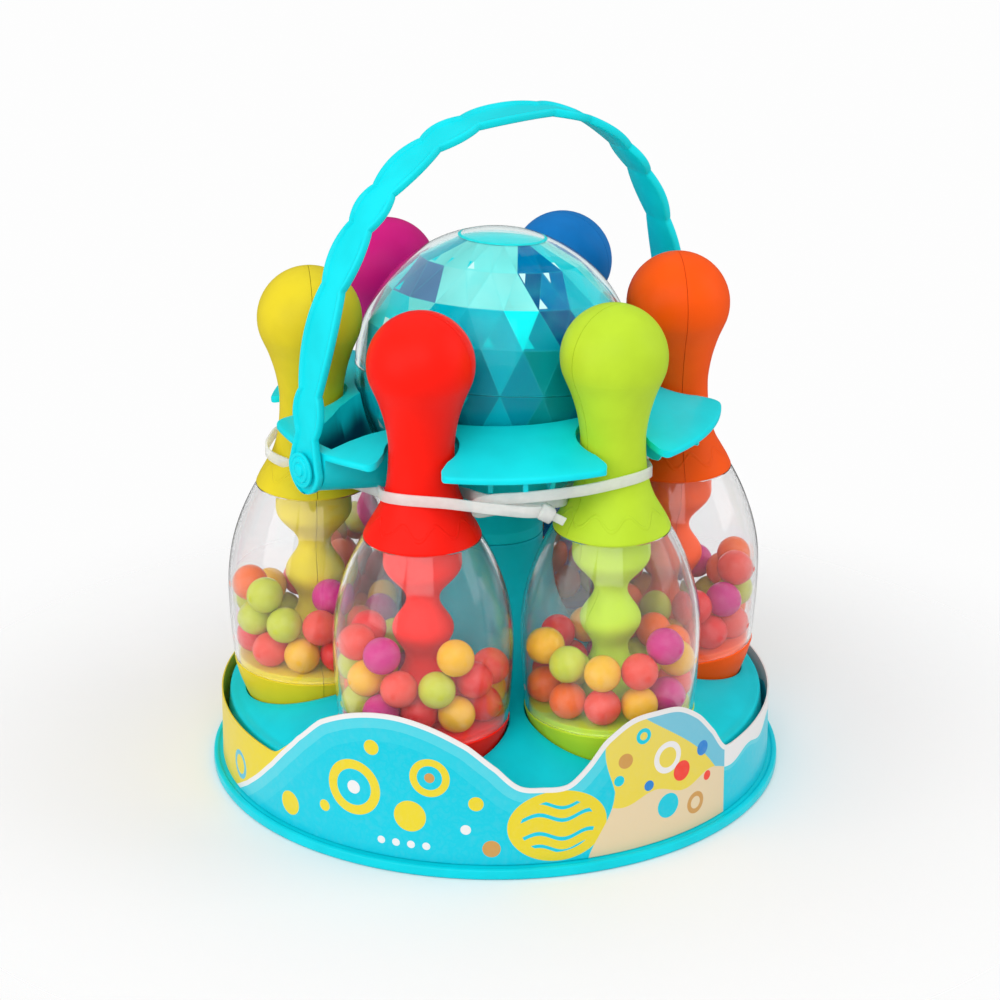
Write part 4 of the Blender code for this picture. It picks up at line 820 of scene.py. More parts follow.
def finsAndTabs():  # two fins and a tab below each lobe that has no trough
    s = finSizes
    half, shapes = s["half"], []
    plan = [(r, ringTop(r) - s["sunk"]) for r in (s["inside"], s["outside"])] + list(s["low"])
    (near, far), tabTop = s["tab"], ringTop(sum(s["tab"]) / 2) - carrierSizes["thick"]
    tab = [(near, -half), (far, -half), (far, half), (near, half)]
    for lobe in s["lobes"]:
        for aside in (-s["aside"], s["aside"]):
            shapes.append(moved(lofted([[(x, y, z) for x, z in plan] for y in (-half, half)]), lobe + aside))
        shapes.append(moved(prism(tab, tabTop - s["tabDeep"], tabTop + s["sunk"]), lobe))
    return joined(shapes)


def bored(piece):  # holes for the two pivots
    radius = troughSizes["bore"]
    section = [(0, 85), (radius, 85), (radius, 110), (0, 110)]
    bores = [moved(spun(section, 40), turn, (0, 0, pivotHeight), "Y") for turn in (90, -90)]
    return combined(piece, joined(bores), "DIFFERENCE")


def makeCarrier():
    s, t = carrierSizes, troughSizes
    carrier = addPiece("carrier", saddled(spun(carrierSection(), s["steps"])))
    plan = slotPlan()
    combined(carrier, joined([moved(prism(plan, 150, 185), pinAngle(i)) for i in range(6)]), "DIFFERENCE")
    face, half, beyond = t["face"], t["faceHalf"], s["beyond"]
    plan = [(face, -half), (beyond, -half), (beyond, half), (face, half)]
    combined(carrier, joined([moved(prism(plan, 150, 178), turn) for turn in (0, 180)]), "DIFFERENCE")
    combined(carrier, troughPair(0, t["start"], face, -t["below"]), "UNION")
    combined(carrier, troughPair(t["wall"], t["inside"], t["end"], t["above"]), "DIFFERENCE")
    combined(carrier, finsAndTabs(), "UNION")
    cradle = [(0, s["ball"] - s["cradle"])] + arc(0, s["ball"], s["cradle"], -90, 0, 40)[1:] + [(0, s["ball"])]
    combined(carrier, spun(cradle, s["steps"]), "DIFFERENCE")
    rounded(carrier, 0.9, 3)
    smoothed(bored(carrier))
    seat(carrier, "carrier", "turquoise", carrierPlastic, "upper_carrier")


makeCarrier()
print("carrier done")


# Handle

handleSizes = {
    "span": 99.4, "rise": 138.2, "power": 2.3, "lean": 3.5, "thick": 3.6, "bulge": 9.6, "waist": 6.8,
    "bead": 2.1, "recess": 1.1, "eye": 10.8, "steps": 360, "reach": 0.006,
    "waists": (4.5, 11.5, 31.0, 44.5, 54.0, 69.5, 81.0),
    "eyeShares": (0.985, 0.93, 0.83, 0.7, 0.55, 0.4, 0.25, 0.1),
}
pivotSection = ((0, 89.6), (3.4, 89.6), (5.0, 92.6), (4.0, 92.7), (4.0, 101.5), (7.5, 101.5), (7.5, 102.6),
                (6.2, 102.6), (6.0, 102.2), (5.4, 102.2), (5.2, 103.1), (3.6, 103.1), (3.4, 102.6), (2.6, 102.6),
                (2.4, 103.6), (0, 103.7))


def strapCentre(angle):
    s = handleSizes
    across, up = math.cos(angle), math.sin(angle)
    x = math.copysign(abs(across) ** (2 / s["power"]), across) * s["span"]
    return Vector((x, 0, abs(up) ** (2 / s["power"]) * s["rise"]))


def strapHalf(degrees):
    s = handleSizes
    side = min(degrees, 180 - degrees)
    stops = [0.0, *s["waists"], 180 - s["waists"][-1]]
    for low, high in zip(stops, stops[1:]):
        if side <= high:
            share = (side - low) / (high - low)
            if low == 0.0:
                return between(s["eye"], s["waist"], share ** 0.8)
            return between(s["waist"], s["bulge"], max(math.sin(math.pi * share), 0) ** 0.8)
    return s["waist"]


def strapRing(centre, tangent, half):
    s = handleSizes
    out = Vector((tangent.z, 0, -tangent.x))
    side = Vector((0, 1, 0))
    deep = s["thick"] / 2
    bead = min(s["bead"], half * 0.4)
    right = [(-deep, half - 0.9), (-deep + 0.35, half - 0.25), (-deep + 1.0, half), (deep - 0.9, half)]
    right += [(deep - 0.25, half - 0.3), (deep, half - 0.9), (deep - 0.1, half - bead + 0.2)]
    right += [(deep - s["recess"], half - bead - 0.5)]
    left = [(depth, -wide) for depth, wide in reversed(right)]
    return [centre + out * depth + side * wide for depth, wide in right + left]


def eyeRing(side, share):  # the rounded ends of the strap, below the pivots
    s = handleSizes
    centre = Vector((side * s["span"], 0, -share * s["eye"]))
    return strapRing(centre, Vector((0, 0, side)), s["eye"] * math.sqrt(1 - share * share))


def makeHandle():
    s = handleSizes
    steps, reach = s["steps"], s["reach"]
    sections = [eyeRing(1, share) for share in s["eyeShares"]]
    for index in range(steps + 1):
        angle = math.pi * index / steps
        before, after = strapCentre(max(angle - reach, 0)), strapCentre(min(angle + reach, math.pi))
        tangent = (after - before).normalized()
        if index in (0, steps):
            tangent = Vector((0, 0, 1 if index == 0 else -1))
        sections.append(strapRing(strapCentre(angle), tangent, strapHalf(math.degrees(angle))))
    sections += [eyeRing(-1, share) for share in reversed(s["eyeShares"])]
    handle = addPiece("handle", moved(lofted(sections), s["lean"], (0, 0, pivotHeight), "X"))
    smoothed(bored(handle), 50)
    seat(handle, "handle", "turquoise", handlePlastic, "carry_handle")
    for turn, side in ((90, "right"), (-90, "left")):
        bm = spun(softened(pivotSection, 0.25, 3), 64)
        pivot = addPiece("pivot_" + side, moved(bm, turn, (0, 0, pivotHeight), "Y"))
        seat(pivot, "handle", "turquoise", handlePlastic, "handle_pivot_" + side)


makeHandle()
print("handle done")


# Ball

ballSizes = {
    "radius": 60.7, "centre": 181.9, "wall": 1.9, "gap": 0.15, "steps": 144, "disc": 18.9,
    "facetRadius": 58.5, "facets": 20, "lens": 56.0, "lensSteps": 14, "lensRatio": 4,
    "upper": (18.5, 35.3, 53.5, 71.5), "lower": (-18.5, -35.3, -53.5, -80.0),
    "tipped": 7.3, "toward": 26.4, "front": 232.3, "shade": (0.88, 1.12), "seed": 7,
    "glints": ((0.10, (0.60, 0.80, 0.78, 1.0)), (0.20, (0.0, 0.58, 0.64, 1.0))),
}


def clearHalf(seam, pole):
    s = ballSizes
    inside = s["radius"] - s["wall"]
    outer = arc(0, 0, s["radius"], math.degrees(math.asin(seam / s["radius"])), pole, 40)
    inner = arc(0, 0, inside, pole, math.degrees(math.asin(seam / inside)), 40)
    outer[-1] = (0, math.copysign(s["radius"], pole))
    inner[0] = (0, math.copysign(inside, pole))
    return outer + inner


# tones painted onto the liner facets in place of reflections and what shows through it
paintedFacetTones = {
    "mint": (0.18, 0.62, 0.59), "pale": (0.23, 0.63, 0.60), "aqua": (0.015, 0.52, 0.58),
    "teal": (0.0, 0.38, 0.48), "azure": (0.0, 0.14, 0.32), "deep": (0.0, 0.07, 0.19), "dark": (0.0, 0.24, 0.33),
    "grey": (0.10, 0.18, 0.32), "bright": (0.0, 0.78, 0.82), "sea": (0.0, 0.24, 0.26),
}
# Painted tone of each facet, standing for reflections and what shows through the liner, by its direction from the
# front, row by row up from the seam
facetRows = (
    ((-85, "dark"), (-60, "teal"), (-38, "dark"), (-24, "teal"), (-12, "dark"), (0, "teal"), (10, "dark"),
     (22, "sea"), (38, "dark"), (55, "teal"), (80, "sea"), (120, "dark"), (150, "teal"), (180, "dark"),
     (210, "sea"), (240, "teal")),
    ((-85, "sea"), (-60, "aqua"), (-42, "mint"), (-30, "teal"), (-8, "teal"), (4, "teal"), (13, "bright"),
     (20, "dark"), (27, "deep"), (40, "deep"), (52, "teal"), (70, "aqua"), (100, "teal"), (140, "azure"),
     (180, "teal"), (215, "aqua"), (245, "teal")),
    ((-85, "aqua"), (-68, "grey"), (-42, "grey"), (-30, "pale"), (0, "pale"), (8, "pale"), (17, "deep"),
     (33, "azure"), (48, "teal"), (62, "aqua"), (85, "mint"), (120, "teal"), (150, "pale"), (180, "aqua"),
     (210, "deep"), (245, "mint")),
    ((-90, "aqua"), (-60, "teal"), (-45, "mint"), (0, "mint"), (10, "mint"), (20, "azure"), (38, "azure"),
     (50, "aqua"), (70, "mint"), (100, "aqua"), (140, "teal"), (180, "mint"), (220, "azure"), (250, "mint")),
)


def facetTone(row, degrees, draw):
    away = (degrees - ballSizes["front"] + 110) % 360 - 110
    stops = facetRows[min(row, len(facetRows) - 1)]
    name = min(stops, key=lambda stop: abs(stop[0] - away))[1]
    return [(*tinted(paintedFacetTones[name], between(*ballSizes["shade"], draw.random())), 1.0) for _ in range(3)]


def facetedLiner(latitudes, seam, poleClosed):
    s = ballSizes
    bm = bmesh.new()
    paintedTone, glint = bm.loops.layers.float_color.new("paintedTone"), bm.loops.layers.float_color.new("glint")
    sheet = bm.loops.layers.uv.new("facet")
    draw = np.random.default_rng(s["seed"])
    rough, smooth, count = s["facetRadius"], s["lens"], s["facets"]
    rows = [(math.sqrt(rough ** 2 - seam ** 2), seam)]
    rows += [(rough * math.cos(math.radians(v)), rough * math.sin(math.radians(v))) for v in latitudes]
    rings = []
    for number, (radius, height) in enumerate(rows):
        corners = [(corner + number % 2 / 2) * 360 / count for corner in range(count)]
        rings.append([bm.verts.new(at(degrees, radius, height)) for degrees in corners])

    def facet(row, *corners):
        face = bm.faces.new(corners)
        middle = face.calc_center_median()
        tones = facetTone(row, math.degrees(math.atan2(middle.y, middle.x)), draw)
        # some facets get a painted highlight colour for one corner
        lit = draw.random()
        bright = next((colour for share, colour in s["glints"] if lit < share), tones[0])
        for loop, place, colour in zip(face.loops, ((1, 0), (0, 1), (0, 0)), tones):
            loop[sheet].uv = place
            loop[paintedTone] = colour
            loop[glint] = bright

    for number, (lower, upper) in enumerate(zip(rings, rings[1:])):
        for corner in range(count):
            after = (corner + 1) % count
            if number % 2 == 0:
                facet(number, lower[corner], lower[after], upper[corner])
                facet(number, upper[corner], lower[after], upper[after])
            else:
                facet(number, lower[corner], upper[after], upper[corner])
                facet(number, lower[corner], lower[after], upper[after])
    facetCount = len(bm.faces)
    start, end = math.degrees(math.asin(seam / smooth)), -90 if poleClosed else latitudes[-1]
    steps, around = s["lensSteps"], count * s["lensRatio"]
    lens = []
    for index in range(steps if poleClosed else steps + 1):
        angle = math.radians(between(start, end, index / steps))
        radius, height = smooth * math.cos(angle), smooth * math.sin(angle)
        lens.append([bm.verts.new(at(corner * 360 / around, radius, height)) for corner in range(around)])
    for lower, upper in zip(lens, lens[1:]):
        for corner in range(around):
            after = (corner + 1) % around
            bm.faces.new((lower[corner], lower[after], upper[after], upper[corner]))
    if poleClosed:
        tip = bm.verts.new((0, 0, -smooth))
        for corner in range(around):
            bm.faces.new((lens[-1][corner], lens[-1][(corner + 1) % around], tip))
        bm.faces.new(rings[-1])
    else:
        joinRings(bm, rings[-1], lens[-1], 0.5 * ((len(rings) - 1) % 2))
    joinRings(bm, rings[0], lens[0], 0.0)
    # the smooth lens and the rims get one painted aqua tone
    for face in list(bm.faces)[facetCount:]:
        for loop in face.loops:
            loop[paintedTone] = loop[glint] = (*paintedFacetTones["aqua"], 1.0)
    return bm


def joinRings(bm, coarse, fine, shift):  # flat rim between a ring of facets and the smooth one
    ratio, count = ballSizes["lensRatio"], len(fine)
    first = int(round(shift * ratio))
    for corner in range(len(coarse)):
        after = (corner + 1) % len(coarse)
        span = [fine[(corner * ratio + first + step) % count] for step in range(ratio + 1)]
        for one, other in zip(span, span[1:]):
            bm.faces.new((coarse[corner], one, other))
        bm.faces.new((coarse[corner], span[-1], coarse[after]))


def tipped(bm):  # the ball lies with its disc a little off the top
    s = ballSizes
    return moved(bm, s["tipped"], (0, 0, s["centre"]), at(s["toward"] + 90, 1))


def makeBall():
    s = ballSizes
    halves = (("upper", 1, s["upper"]), ("lower", -1, s["lower"]))
    for name, side, _ in halves:
        half = addPiece("ball_clear_" + name, tipped(spun(clearHalf(side * s["gap"], side * 90), s["steps"])))
        seat(half, "ball", "ball_clear", ballPlastic, f"ball_{name}_half")
    for name, side, rows in halves:
        liner = addPiece("ball_facets_" + name, tipped(facetedLiner(rows, side * s["gap"], side < 0)), 4)
        seat(liner, "ball", "ball_liner", linerPlastic, f"ball_liner_{name}")
    rest, wide = s["facetRadius"] * math.sin(math.radians(s["upper"][-1])) + 0.05, s["disc"]
    outline = [(0, rest), (wide, rest), (wide - 0.2, rest + 0.4), (wide - 2, rest + 0.7), (0, rest + 0.9)]
    disc = addPiece("ball_disc", tipped(spun(softened(outline, 0.2), 96)))
    seat(disc, "ball", "ball_disc", discPlastic, "ball_top_disc")


makeBall()
print("ball done")


# Printed card

cardSizes = {
    "radius": 122.6, "thick": 0.6, "lean": 0.6, "leanOver": 65, "foot": 5.1, "band": 35.2,
    "steps": 720, "rows": 14,
}
# Direction and height of the card's upper edge, and of the print's leading line on its left
cardTops = (
    (176, 35.2), (182, 35.6), (185.5, 40.5), (189.2, 48.0), (195.5, 59.9), (203.7, 67.3), (211.9, 69.6),
    (219.7, 66.4), (227.1, 59.0), (232.9, 49.0), (237.0, 41.0), (241.5, 39.6), (246.5, 40.0), (250.2, 46.8),
    (254.2, 57.3), (259.9, 64.6), (266.0, 65.6), (271.8, 64.0), (277.2, 56.9), (281.8, 46.5), (285.3, 37.0),
    (288, 35.2),
)
printStart = ((100, 3.0), (158, 0.5), (163.8, 4.0), (170.6, 12.0), (175.8, 20.2), (181.0, 30.0), (184.8, 38.5))
printLooks = {
    "turquoise": (0.0, 0.56, 0.70), "pale": (0.075, 0.62, 0.73), "light": (0.016, 0.58, 0.71),
    "white": (0.80, 0.78, 0.775), "yellow": (0.78, 0.62, 0.025), "sky": (0.10, 0.50, 0.66),
    "sand": (0.76, 0.60, 0.37), "tan": (0.60, 0.31, 0.08), "red": (0.86, 0.05, 0.03), "blue": (0.02, 0.22, 0.62),
    "worn": (0.55, 0.60, 0.62), "wornShare": 0.18, "ink": 260, "inkRough": 0.08,
    "fibre": 1800, "fibreRough": 0.10, "rough": 0.27, "grainDepth": 0.00003,
}
printPlan = {  # directions in degrees round the card, sizes in millimetres
    "perDegree": 2.1398, "line": (100, 330, 0.25),
    "soft": 0.12, "edge": 2.1, "bands": (6.6, 12.4), "ripple": 0.42,
    "badge": (244.6, 21.8), "badgeHalf": (21.5, 16.2), "badgeEdge": (0.985, 1.0), "badgeInside": (0.74, 0.755),
    "waves": (0.62, 1.6, 21.5), "nearWave": (3.4, 5.2), "farWave": (10.0, 0.8),
    "hump": (251.3, 251.5, 285.4), "humpLean": 0.12, "humpSwing": (40, 0.13, 1.2),
    "sky": (268, 1.9, 55.8, 56.1), "skySwing": (0.11, 2.6), "sand": 27.5, "sandSwing": 2.2, "fade": (60, 0.12),
    "side": (285.3, 285.6, 352.0), "sideBands": (27.0, 25.0), "sideSwing": 1.6, "edgeEnd": 285.5,
    "panelEnd": 200.0, "ring": (167.5, 17), "ringSize": (4.4, 6.6), "ringStretch": 4.6,
}
printDots = {  # direction, height and size of each dot, and the size of its hole
    "yellow": ((187, 15.5, 5.4, 0), (196.5, 21.0, 2.6, 0), (203.5, 33.5, 12.5, 8.2), (215.5, 25.0, 7.0, 0),
               (219.5, 43.5, 8.6, 5.4), (207.5, 53.5, 3.4, 0), (228.6, 33.0, 3.2, 0), (262.5, 10.5, 4.4, 2.4)),
    "white": ((209.5, 12.0, 1.7, 0), (212.6, 12.0, 1.7, 0), (215.7, 12.0, 1.7, 0), (218.8, 12.0, 1.7, 0),
              (203.5, 33.5, 3.0, 0), (226.6, 21.0, 2.2, 0), (268.5, 43.0, 7.2, 4.6)),
    "tan": ((231.6, 12.5, 3.8, 0), (219.5, 43.5, 2.2, 0), (258.6, 46.5, 3.4, 0), (276.2, 16.8, 5.0, 2.8)),
    "turquoise": ((257.2, 38.0, 2.4, 0), (262.6, 56.0, 3.6, 1.8), (268.8, 20.5, 5.6, 0), (297.5, 28.5, 3.0, 0)),
    "red": ((272.2, 34.5, 4.6, 0), (279.6, 27.0, 2.2, 0)),
    "blue": ((278.0, 41.0, 3.4, 0), (264.0, 32.5, 2.4, 0)),
}


def curveAt(points, degrees):
    if degrees <= points[0][0]:
        return points[0][1]
    if degrees >= points[-1][0]:
        return points[-1][1]
    index = max(i for i in range(len(points) - 1) if points[i][0] <= degrees)
    (low, one), (high, other) = points[index], points[index + 1]
    before, after = points[max(index - 1, 0)][1], points[min(index + 2, len(points) - 1)][1]
    return eased(before, one, other, after, (degrees - low) / (high - low))


def belowLine(places):  # distance under the print's leading line, which leaves the card's edge on the left
    whole = printStart + cardTops[3:]
    angles = np.arange(*printPlan["line"])
    line = np.array([(a * printPlan["perDegree"], curveAt(whole, a)) for a in angles])
    starts, runs = line[:-1], line[1:] - line[:-1]
    result = []
    for place in places:
        share = np.clip(((place - starts) * runs).sum(1) / (runs ** 2).sum(1), 0, 1)
        gap = starts + runs * share[:, None] - place
        nearest = int((gap ** 2).sum(1).argmin())
        under = np.interp(place[0], line[:, 0], line[:, 1]) - place[1]
        result.append(math.copysign(math.hypot(*gap[nearest]), under))
    return result


def cardFinish():  # print in degrees round the card and millimetres up it, from the card's own maps
    look, plan = printLooks, printPlan
    finish = Finish("cardPrint", IOR=1.5, Specular_IOR_Level=0.22, Coat_Weight=0.06, Coat_Roughness=0.2)
    parts = finish.node("ShaderNodeSeparateXYZ", {}, finish.node("ShaderNodeUVMap", {"uv_map": "print"}))
    edge = finish.node("ShaderNodeSeparateXYZ", {}, finish.node("ShaderNodeUVMap", {"uv_map": "edge"}))
    turn, up, below = parts.out("X") * 360, parts.out("Y") * 100, edge.out("X") * 100
    soft = plan["soft"]

    def upTo(value, limit):
        return 1 - value.ramp(limit - soft, limit + soft)

    def within(value, low, high):
        return value.ramp(low - soft, low + soft) * upTo(value, high)

    def dots(paint, name):
        for angle, height, size, hole in printDots[name]:
            away = (((turn - angle) * plan["perDegree"]) ** 2.0 + (up - height) ** 2.0).root()
            mask = within(away, hole, size) if hole else upTo(away, size)
            paint = finish.mix(mask, paint, look[name])
        return paint

    def badge(paint):  # an oval with waves in it
        (angle, height), (wide, tall), (turns, swing, middle) = plan["badge"], plan["badgeHalf"], plan["waves"]
        away = (((turn - angle) * plan["perDegree"] / wide) ** 2.0 + ((up - height) / tall) ** 2.0).root()
        wave = ((turn * turns).sine() * swing + up - middle).size()
        far, width = plan["farWave"]
        lines = within(wave, *plan["nearWave"]).most(upTo((wave - far).size(), width))
        lines = lines * (1 - away.ramp(*plan["badgeInside"]))
        waves = finish.mix(lines, look["yellow"], look["turquoise"])
        return finish.mix(1 - away.ramp(*plan["badgeEdge"]), paint, waves)

    def rightHump(paint):  # sand below a yellow field and a slanting sky
        start, full, end = plan["hump"]
        middle, turns, swing = plan["humpSwing"]
        left = turn + ((up - middle) * turns).sine() * swing - (up * plan["humpLean"]).least(4.0)
        angle, slope, low, high = plan["sky"]
        turns, swing = plan["skySwing"]
        slant = up + (turn - angle) * slope + (up * turns).sine() * swing
        field = finish.mix(slant.ramp(low, high), look["yellow"], look["sky"])
        field = finish.mix(upTo(up + ripple * plan["sandSwing"], plan["sand"]), field, look["sand"])
        height, share = plan["fade"]
        field = finish.mix((up / height).least(1.0) * share, field, look["white"])
        return finish.mix(left.ramp(start, full) * upTo(turn, end), paint, field)

    def rightSide(paint):
        start, full, end = plan["side"]
        lower = up + ripple * plan["sideSwing"]
        side = finish.mix(upTo(lower, plan["sideBands"][0]), look["white"], look["pale"])
        side = finish.mix(upTo(lower, plan["sideBands"][1]), side, look["turquoise"])
        return finish.mix(turn.ramp(start, full) * upTo(turn, end), paint, side)

    ripple = (turn * plan["ripple"]).sine()
    paint = look["turquoise"]
    for width, name in zip(reversed(plan["bands"]), ("light", "pale")):
        paint = finish.mix(upTo(below, width), paint, look[name])
    paint = rightHump(badge(dots(paint, "yellow")))
    for name in ("white", "tan", "turquoise", "red", "blue"):
        paint = dots(paint, name)
    paint = rightSide(paint)
    paint = finish.mix(upTo(below, plan["edge"]) * upTo(turn, plan["edgeEnd"]), paint, look["white"])
    angle, height = plan["ring"]
    away = ((turn - angle) ** 2.0 * plan["ringStretch"] + (up - height) ** 2.0).root()
    panel = finish.mix(within(away, *plan["ringSize"]), look["yellow"], look["sky"])
    paint = finish.mix((1 - below.ramp(-soft, soft)) * upTo(turn, plan["panelEnd"]), paint, panel)
    fibre, ink = finish.noise(look["fibre"], 3.0), finish.noise(look["ink"])
    finish.set(Base_Color=finish.mix((ink - 0.5).size() * look["wornShare"], paint, look["worn"]))
    finish.set(Roughness=fibre * look["fibreRough"] + ink * look["inkRough"] + look["rough"])
    finish.bump(fibre, look["grainDepth"], 0.35)
    return finish


def makeCard():
    s = cardSizes
    sections = []
    for index in range(s["steps"]):
        degrees = 360 * index / s["steps"]
        top = max(curveAt(cardTops, degrees), s["band"])
        outer, inner = [], []
        for row in range(s["rows"] + 1):
            height = between(s["foot"], top, row / s["rows"])
            lean = s["lean"] * (height - s["foot"]) / s["leanOver"]
            outer.append(at(degrees, s["radius"] - lean, height))
            inner.append(at(degrees, s["radius"] - lean - s["thick"], height))
        sections.append(outer + list(reversed(inner)))
    card = addPiece("card", lofted(sections, closed=True), 60)
    data = card.data
    points = [(math.degrees(math.atan2(v.co.y, v.co.x)) % 360, v.co.z / mm) for v in data.vertices]
    below = belowLine(np.array([(a * printPlan["perDegree"], z) for a, z in points]))
    sheet, edge = data.uv_layers.new(name="print"), data.uv_layers.new(name="edge")
    for face in data.polygons:
        corners = [(loop, data.loops[loop].vertex_index) for loop in face.loop_indices]
        angles = [points[vertex][0] for _, vertex in corners]
        wraps = max(angles) - min(angles) > 180
        for loop, vertex in corners:
            angle, height = points[vertex]
            sheet.data[loop].uv = ((angle + 360 if wraps and angle < 180 else angle) / 360, height / 100)
            edge.data[loop].uv = (below[vertex] / 100, 0.0)
    seat(card, "carrier", "card_print", cardFinish().material, "printed_card")


makeCard()
print("card done")


# Ties

tieSizes = {
    "width": 4.8, "thick": 1.2, "round": 0.3, "gap": 0.6, "steps": 10,
    "low": 142.5, "high": 159.0, "inner": 54.5, "outer": 96.0,
    "box": ((-2.9, 5.6), (-2.4, 6.6), (2.4, 6.6), (2.9, 5.6)), "boxDeep": 0.86, "boxRound": 0.9,
    "tailWidth": 3.6, "tail": 8.5,
}
# Corners: a pin, the direction round it and a height, or a direction, a distance and a height, the last two
# as shares of the room between inner and outer, and low and high
tieRoutes = {
    "left": (
        ("yellow", 30, 0.33), ("yellow", -15, 0.62), ("yellow", -60, 0.58), ("yellow", -105, 0.45),
        ("yellow", -150, 0.27), (180, 0.0, 0.02), ("red", 150, 0.30), (226, 0.54, 0.53), (232, 0.66, 0.53),
        (240, 0.80, 0.48), (244.5, 0.90, 0.45), (240, 0.965, 0.52), (231, 0.985, 0.65), (221, 0.995, 0.75),
        ("red", 0, 0.74), ("red", -40, 0.66), ("red", -80, 0.52), (186, 0.28, -0.12), (176, 0.3, -0.12),
    ),
    "right": (
        ("green", -13, 1.0), (255, 0.965, 0.95), (241, 0.93, 0.88), (233, 0.89, 0.81), (229, 0.835, 0.69),
        (226.5, 0.75, 0.46), (227.5, 0.645, 0.22), (233, 0.53, 0.19), (241, 0.43, 0.19), ("green", -115, 0.21),
        ("green", -152, 0.21), (300, 0.0, 0.03), ("orange", 150, 0.30), ("orange", 105, 0.60),
        ("orange", 60, 0.85), ("orange", 15, 1.0), ("orange", -30, 1.0), ("orange", -72, 0.93), (303, 0.46, 0.66),
        (292, 0.44, 0.68), ("green", 66, 0.88), ("green", 28, 1.0),
    ),
    "back": (
        ("blue", 30, 0.50), (60, 0.76, 0.52), ("magenta", -30, 0.55), ("magenta", 15, 0.55),
        ("magenta", 60, 0.52), ("magenta", 105, 0.45), ("magenta", 150, 0.27), (60, 0.0, 0.03),
        ("blue", -150, 0.27), ("blue", -105, 0.45), ("blue", -60, 0.50), ("blue", -15, 0.50),
    ),
}
# The same three for each lock, then the way its tail leaves and how it falls
tieLocks = {
    "left": (245.3, 0.925, 0.42, 82, -0.55), "right": (241, 0.40, 0.19, 180, -0.25),
    "back": (60, 0.80, 0.52, 40, -0.3),
}
# Height and radius up a pin's skirt and neck, where the ties lie
skirtCurve = (
    (133.3, 24.6), (137.4, 23.0), (141.9, 20.4), (147.0, 17.6), (154.5, 15.1), (162.5, 14.0), (170.0, 13.6),
)


def skirtRadius(height):
    return float(np.interp(height, *zip(*skirtCurve)))


def tiePlace(angle, out, up):
    s = tieSizes
    return at(angle, between(s["inner"], s["outer"], out), between(s["low"], s["high"], up))


def tieCorner(place, value, share):
    s = tieSizes
    if not isinstance(place, str):
        return tiePlace(place, value, share)
    index = pinNames.index(place)
    height = between(s["low"], s["high"], share)
    radius = skirtRadius(height - s["width"] / 2) + s["gap"] + s["thick"] / 2
    point = at(pinAngle(index), pinSizes["ring"]) + at(pinAngle(index) + value, radius)
    point.z = height
    return point


def strapBox(centre, tangent, width, thick, corner):
    side = Vector((tangent.y, -tangent.x, 0)).normalized()
    up = side.cross(tangent).normalized()
    w, t = width / 2, thick / 2
    half = [(t, w - corner), (t - corner, w), (corner - t, w), (-t, w - corner)]
    return [centre + side * a + up * b for a, b in half + [(-a, -b) for a, b in half]]


def makeTie(name):
    s = tieSizes
    curve = throughPoints([tieCorner(*corner) for corner in tieRoutes[name]], s["steps"], closed=True)
    sections = []
    for index, centre in enumerate(curve):
        tangent = (curve[(index + 1) % len(curve)] - curve[index - 1]).normalized()
        sections.append(strapBox(centre, tangent, s["width"], s["thick"], s["round"]))
    angle, out, up, leaving, fall = tieLocks[name]
    centre, away = tiePlace(angle, out, up), at(angle + leaving, 1, fall).normalized()
    box, tail = [], []
    for along, size in s["box"]:
        box.append(strapBox(centre + away * along, away, size, size * s["boxDeep"], s["boxRound"]))
    for along in (0, s["tail"]):
        tail.append(strapBox(centre + away * along, away, s["tailWidth"], s["thick"], s["round"]))
    tie = addPiece("tie_" + name, joined([lofted(sections, closed=True), lofted(box), lofted(tail)]), 50)
    seat(tie, "carrier", "nylon", nylonStrap, "cable_tie_" + name)


for tieName in tieRoutes:
    makeTie(tieName)
print("ties done")


# Screw, floor, lamps and camera

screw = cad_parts["carrier_screw"].data
screw.materials.clear()
screw.materials.append(screwSteel)

stage = {
    "floor": (0.87, 0.87, 0.87), "solid": 0.16, "clear": 0.34, "world": 0.72, "seen": 0.985, "mirrored": 0.16,
    "aim": (0, 0, 0.14), "radius": 900, "steps": 96, "rough": 0.75, "mottle": 3.0, "mottled": 1.01,
    "grain": 900, "grainDepth": 0.00005,
}
lamps = {  # place, size and power
    "key": ((-1.4, -1.6, 1.9), (2.0, 2.0), 22), "fill": ((1.5, -1.2, 1.1), (1.2, 1.8), 8),
    "side": ((-2.0, 0.0, 0.8), (1.6, 1.6), 13), "top": ((0.1, 0.3, 2.1), (2.0, 2.0), 5),
}
view = {
    "azimuth": -37.675, "elevation": 21.239, "target": (0, 0, 0.120), "distance": 1.3414,
    "lens": 110.04, "sensor": 36, "shift": 0.00475,
}


def makeFloor():  # pale paper that fades into the white beyond it
    finish = Finish("floorPaper", Roughness=stage["rough"], Specular_IOR_Level=0.2)
    mottled = tinted(stage["floor"], stage["mottled"])
    finish.set(Base_Color=finish.mix(finish.noise(stage["mottle"]), stage["floor"], mottled))
    finish.bump(finish.noise(stage["grain"]), stage["grainDepth"], 0.2)
    away = finish.node("ShaderNodeVectorMath", {"operation": "LENGTH"}, finish.place(), out="Value")
    finish.overlay(away.ramp(stage["solid"], stage["clear"]), finish.node("ShaderNodeBsdfTransparent"))
    bm = bmesh.new()
    bmesh.ops.create_circle(bm, cap_ends=True, segments=stage["steps"], radius=stage["radius"])
    floor = addPiece("floor", bm)
    floor.data.materials.append(finish.material)


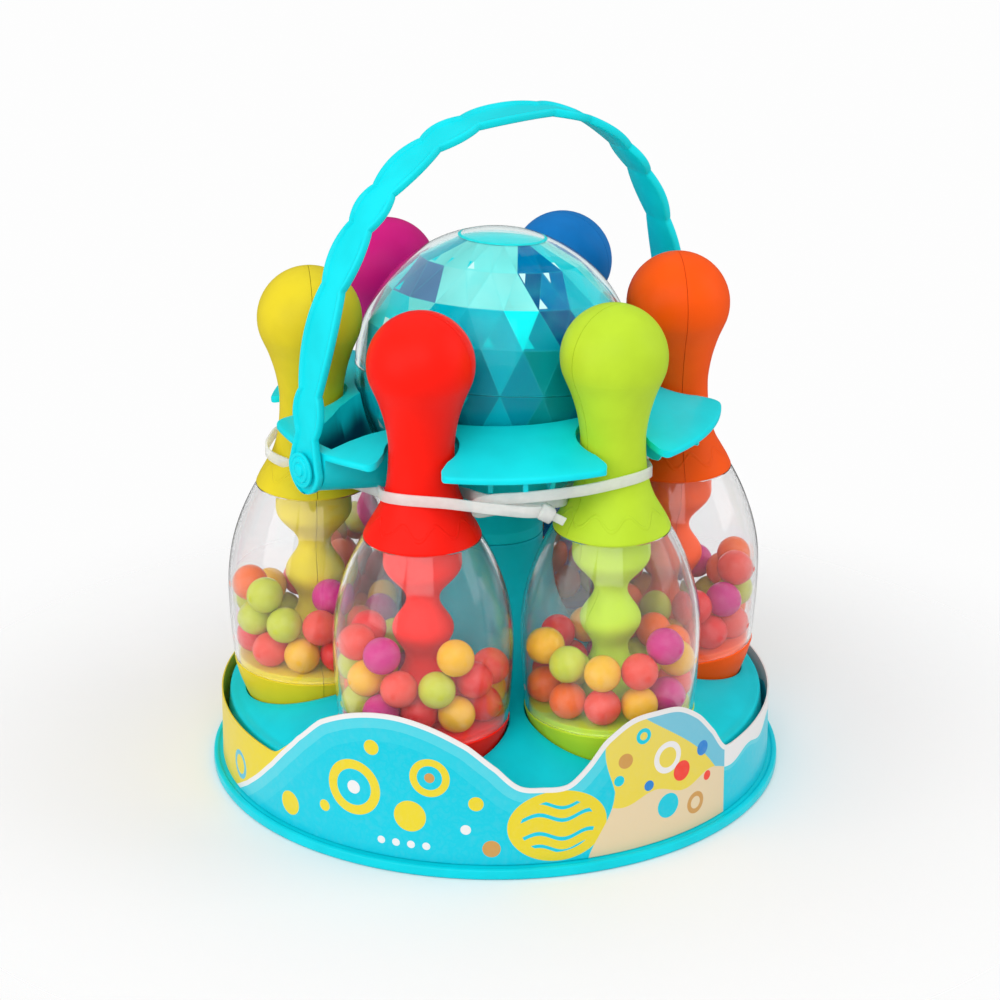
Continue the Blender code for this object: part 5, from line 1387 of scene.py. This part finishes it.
def addLamp(name, place, size, power):
    light = bpy.data.lights.new(name, "AREA")
    light.shape = "RECTANGLE"
    light.size, light.size_y = size
    light.energy = power
    lamp = bpy.data.objects.new(name, light)
    lamp.location = place
    lamp.rotation_euler = (Vector(stage["aim"]) - Vector(place)).to_track_quat("-Z", "Y").to_euler()
    bpy.context.collection.objects.link(lamp)


def makeLight():  # white as the camera and clear plastic see it, dimmer as a light and in reflections
    world = bpy.data.worlds.new("studio")
    bpy.context.scene.world = world
    world.use_nodes = True
    nodes, links = world.node_tree.nodes, world.node_tree.links
    shade = nodes["Background"]
    shade.inputs["Color"].default_value = (1, 1, 1, 1)
    path = nodes.new("ShaderNodeLightPath")
    seen = nodes.new("ShaderNodeMath")
    seen.operation = "MAXIMUM"
    glossy, power = nodes.new("ShaderNodeMapRange"), nodes.new("ShaderNodeMapRange")
    glossy.inputs["To Min"].default_value = stage["world"]
    glossy.inputs["To Max"].default_value = stage["mirrored"]
    power.inputs["To Max"].default_value = stage["seen"]
    for leaving, entering in (
        (path.outputs["Is Camera Ray"], seen.inputs[0]), (path.outputs["Is Transmission Ray"], seen.inputs[1]),
        (path.outputs["Is Glossy Ray"], glossy.inputs["Value"]), (seen.outputs[0], power.inputs["Value"]),
        (glossy.outputs[0], power.inputs["To Min"]), (power.outputs[0], shade.inputs["Strength"]),
    ):
        links.new(leaving, entering)
    for name, values in lamps.items():
        addLamp(name, *values)


def makeCamera():
    camera = bpy.data.cameras.new("camera")
    camera.lens, camera.sensor_width, camera.shift_x = view["lens"], view["sensor"], view["shift"]
    item = bpy.data.objects.new("camera", camera)
    bpy.context.collection.objects.link(item)
    azimuth, elevation = math.radians(view["azimuth"]), math.radians(view["elevation"])
    flat = math.cos(elevation)
    back = Vector((math.sin(azimuth) * flat, -math.cos(azimuth) * flat, math.sin(elevation)))
    item.location = Vector(view["target"]) + back * view["distance"]
    item.rotation_euler = (-back).to_track_quat("-Z", "Y").to_euler()
    bpy.context.scene.camera = item


makeFloor()
makeLight()
makeCamera()
bpy.context.scene.view_settings.view_transform = "Standard"
bpy.context.view_layer.update()
print("scene done")
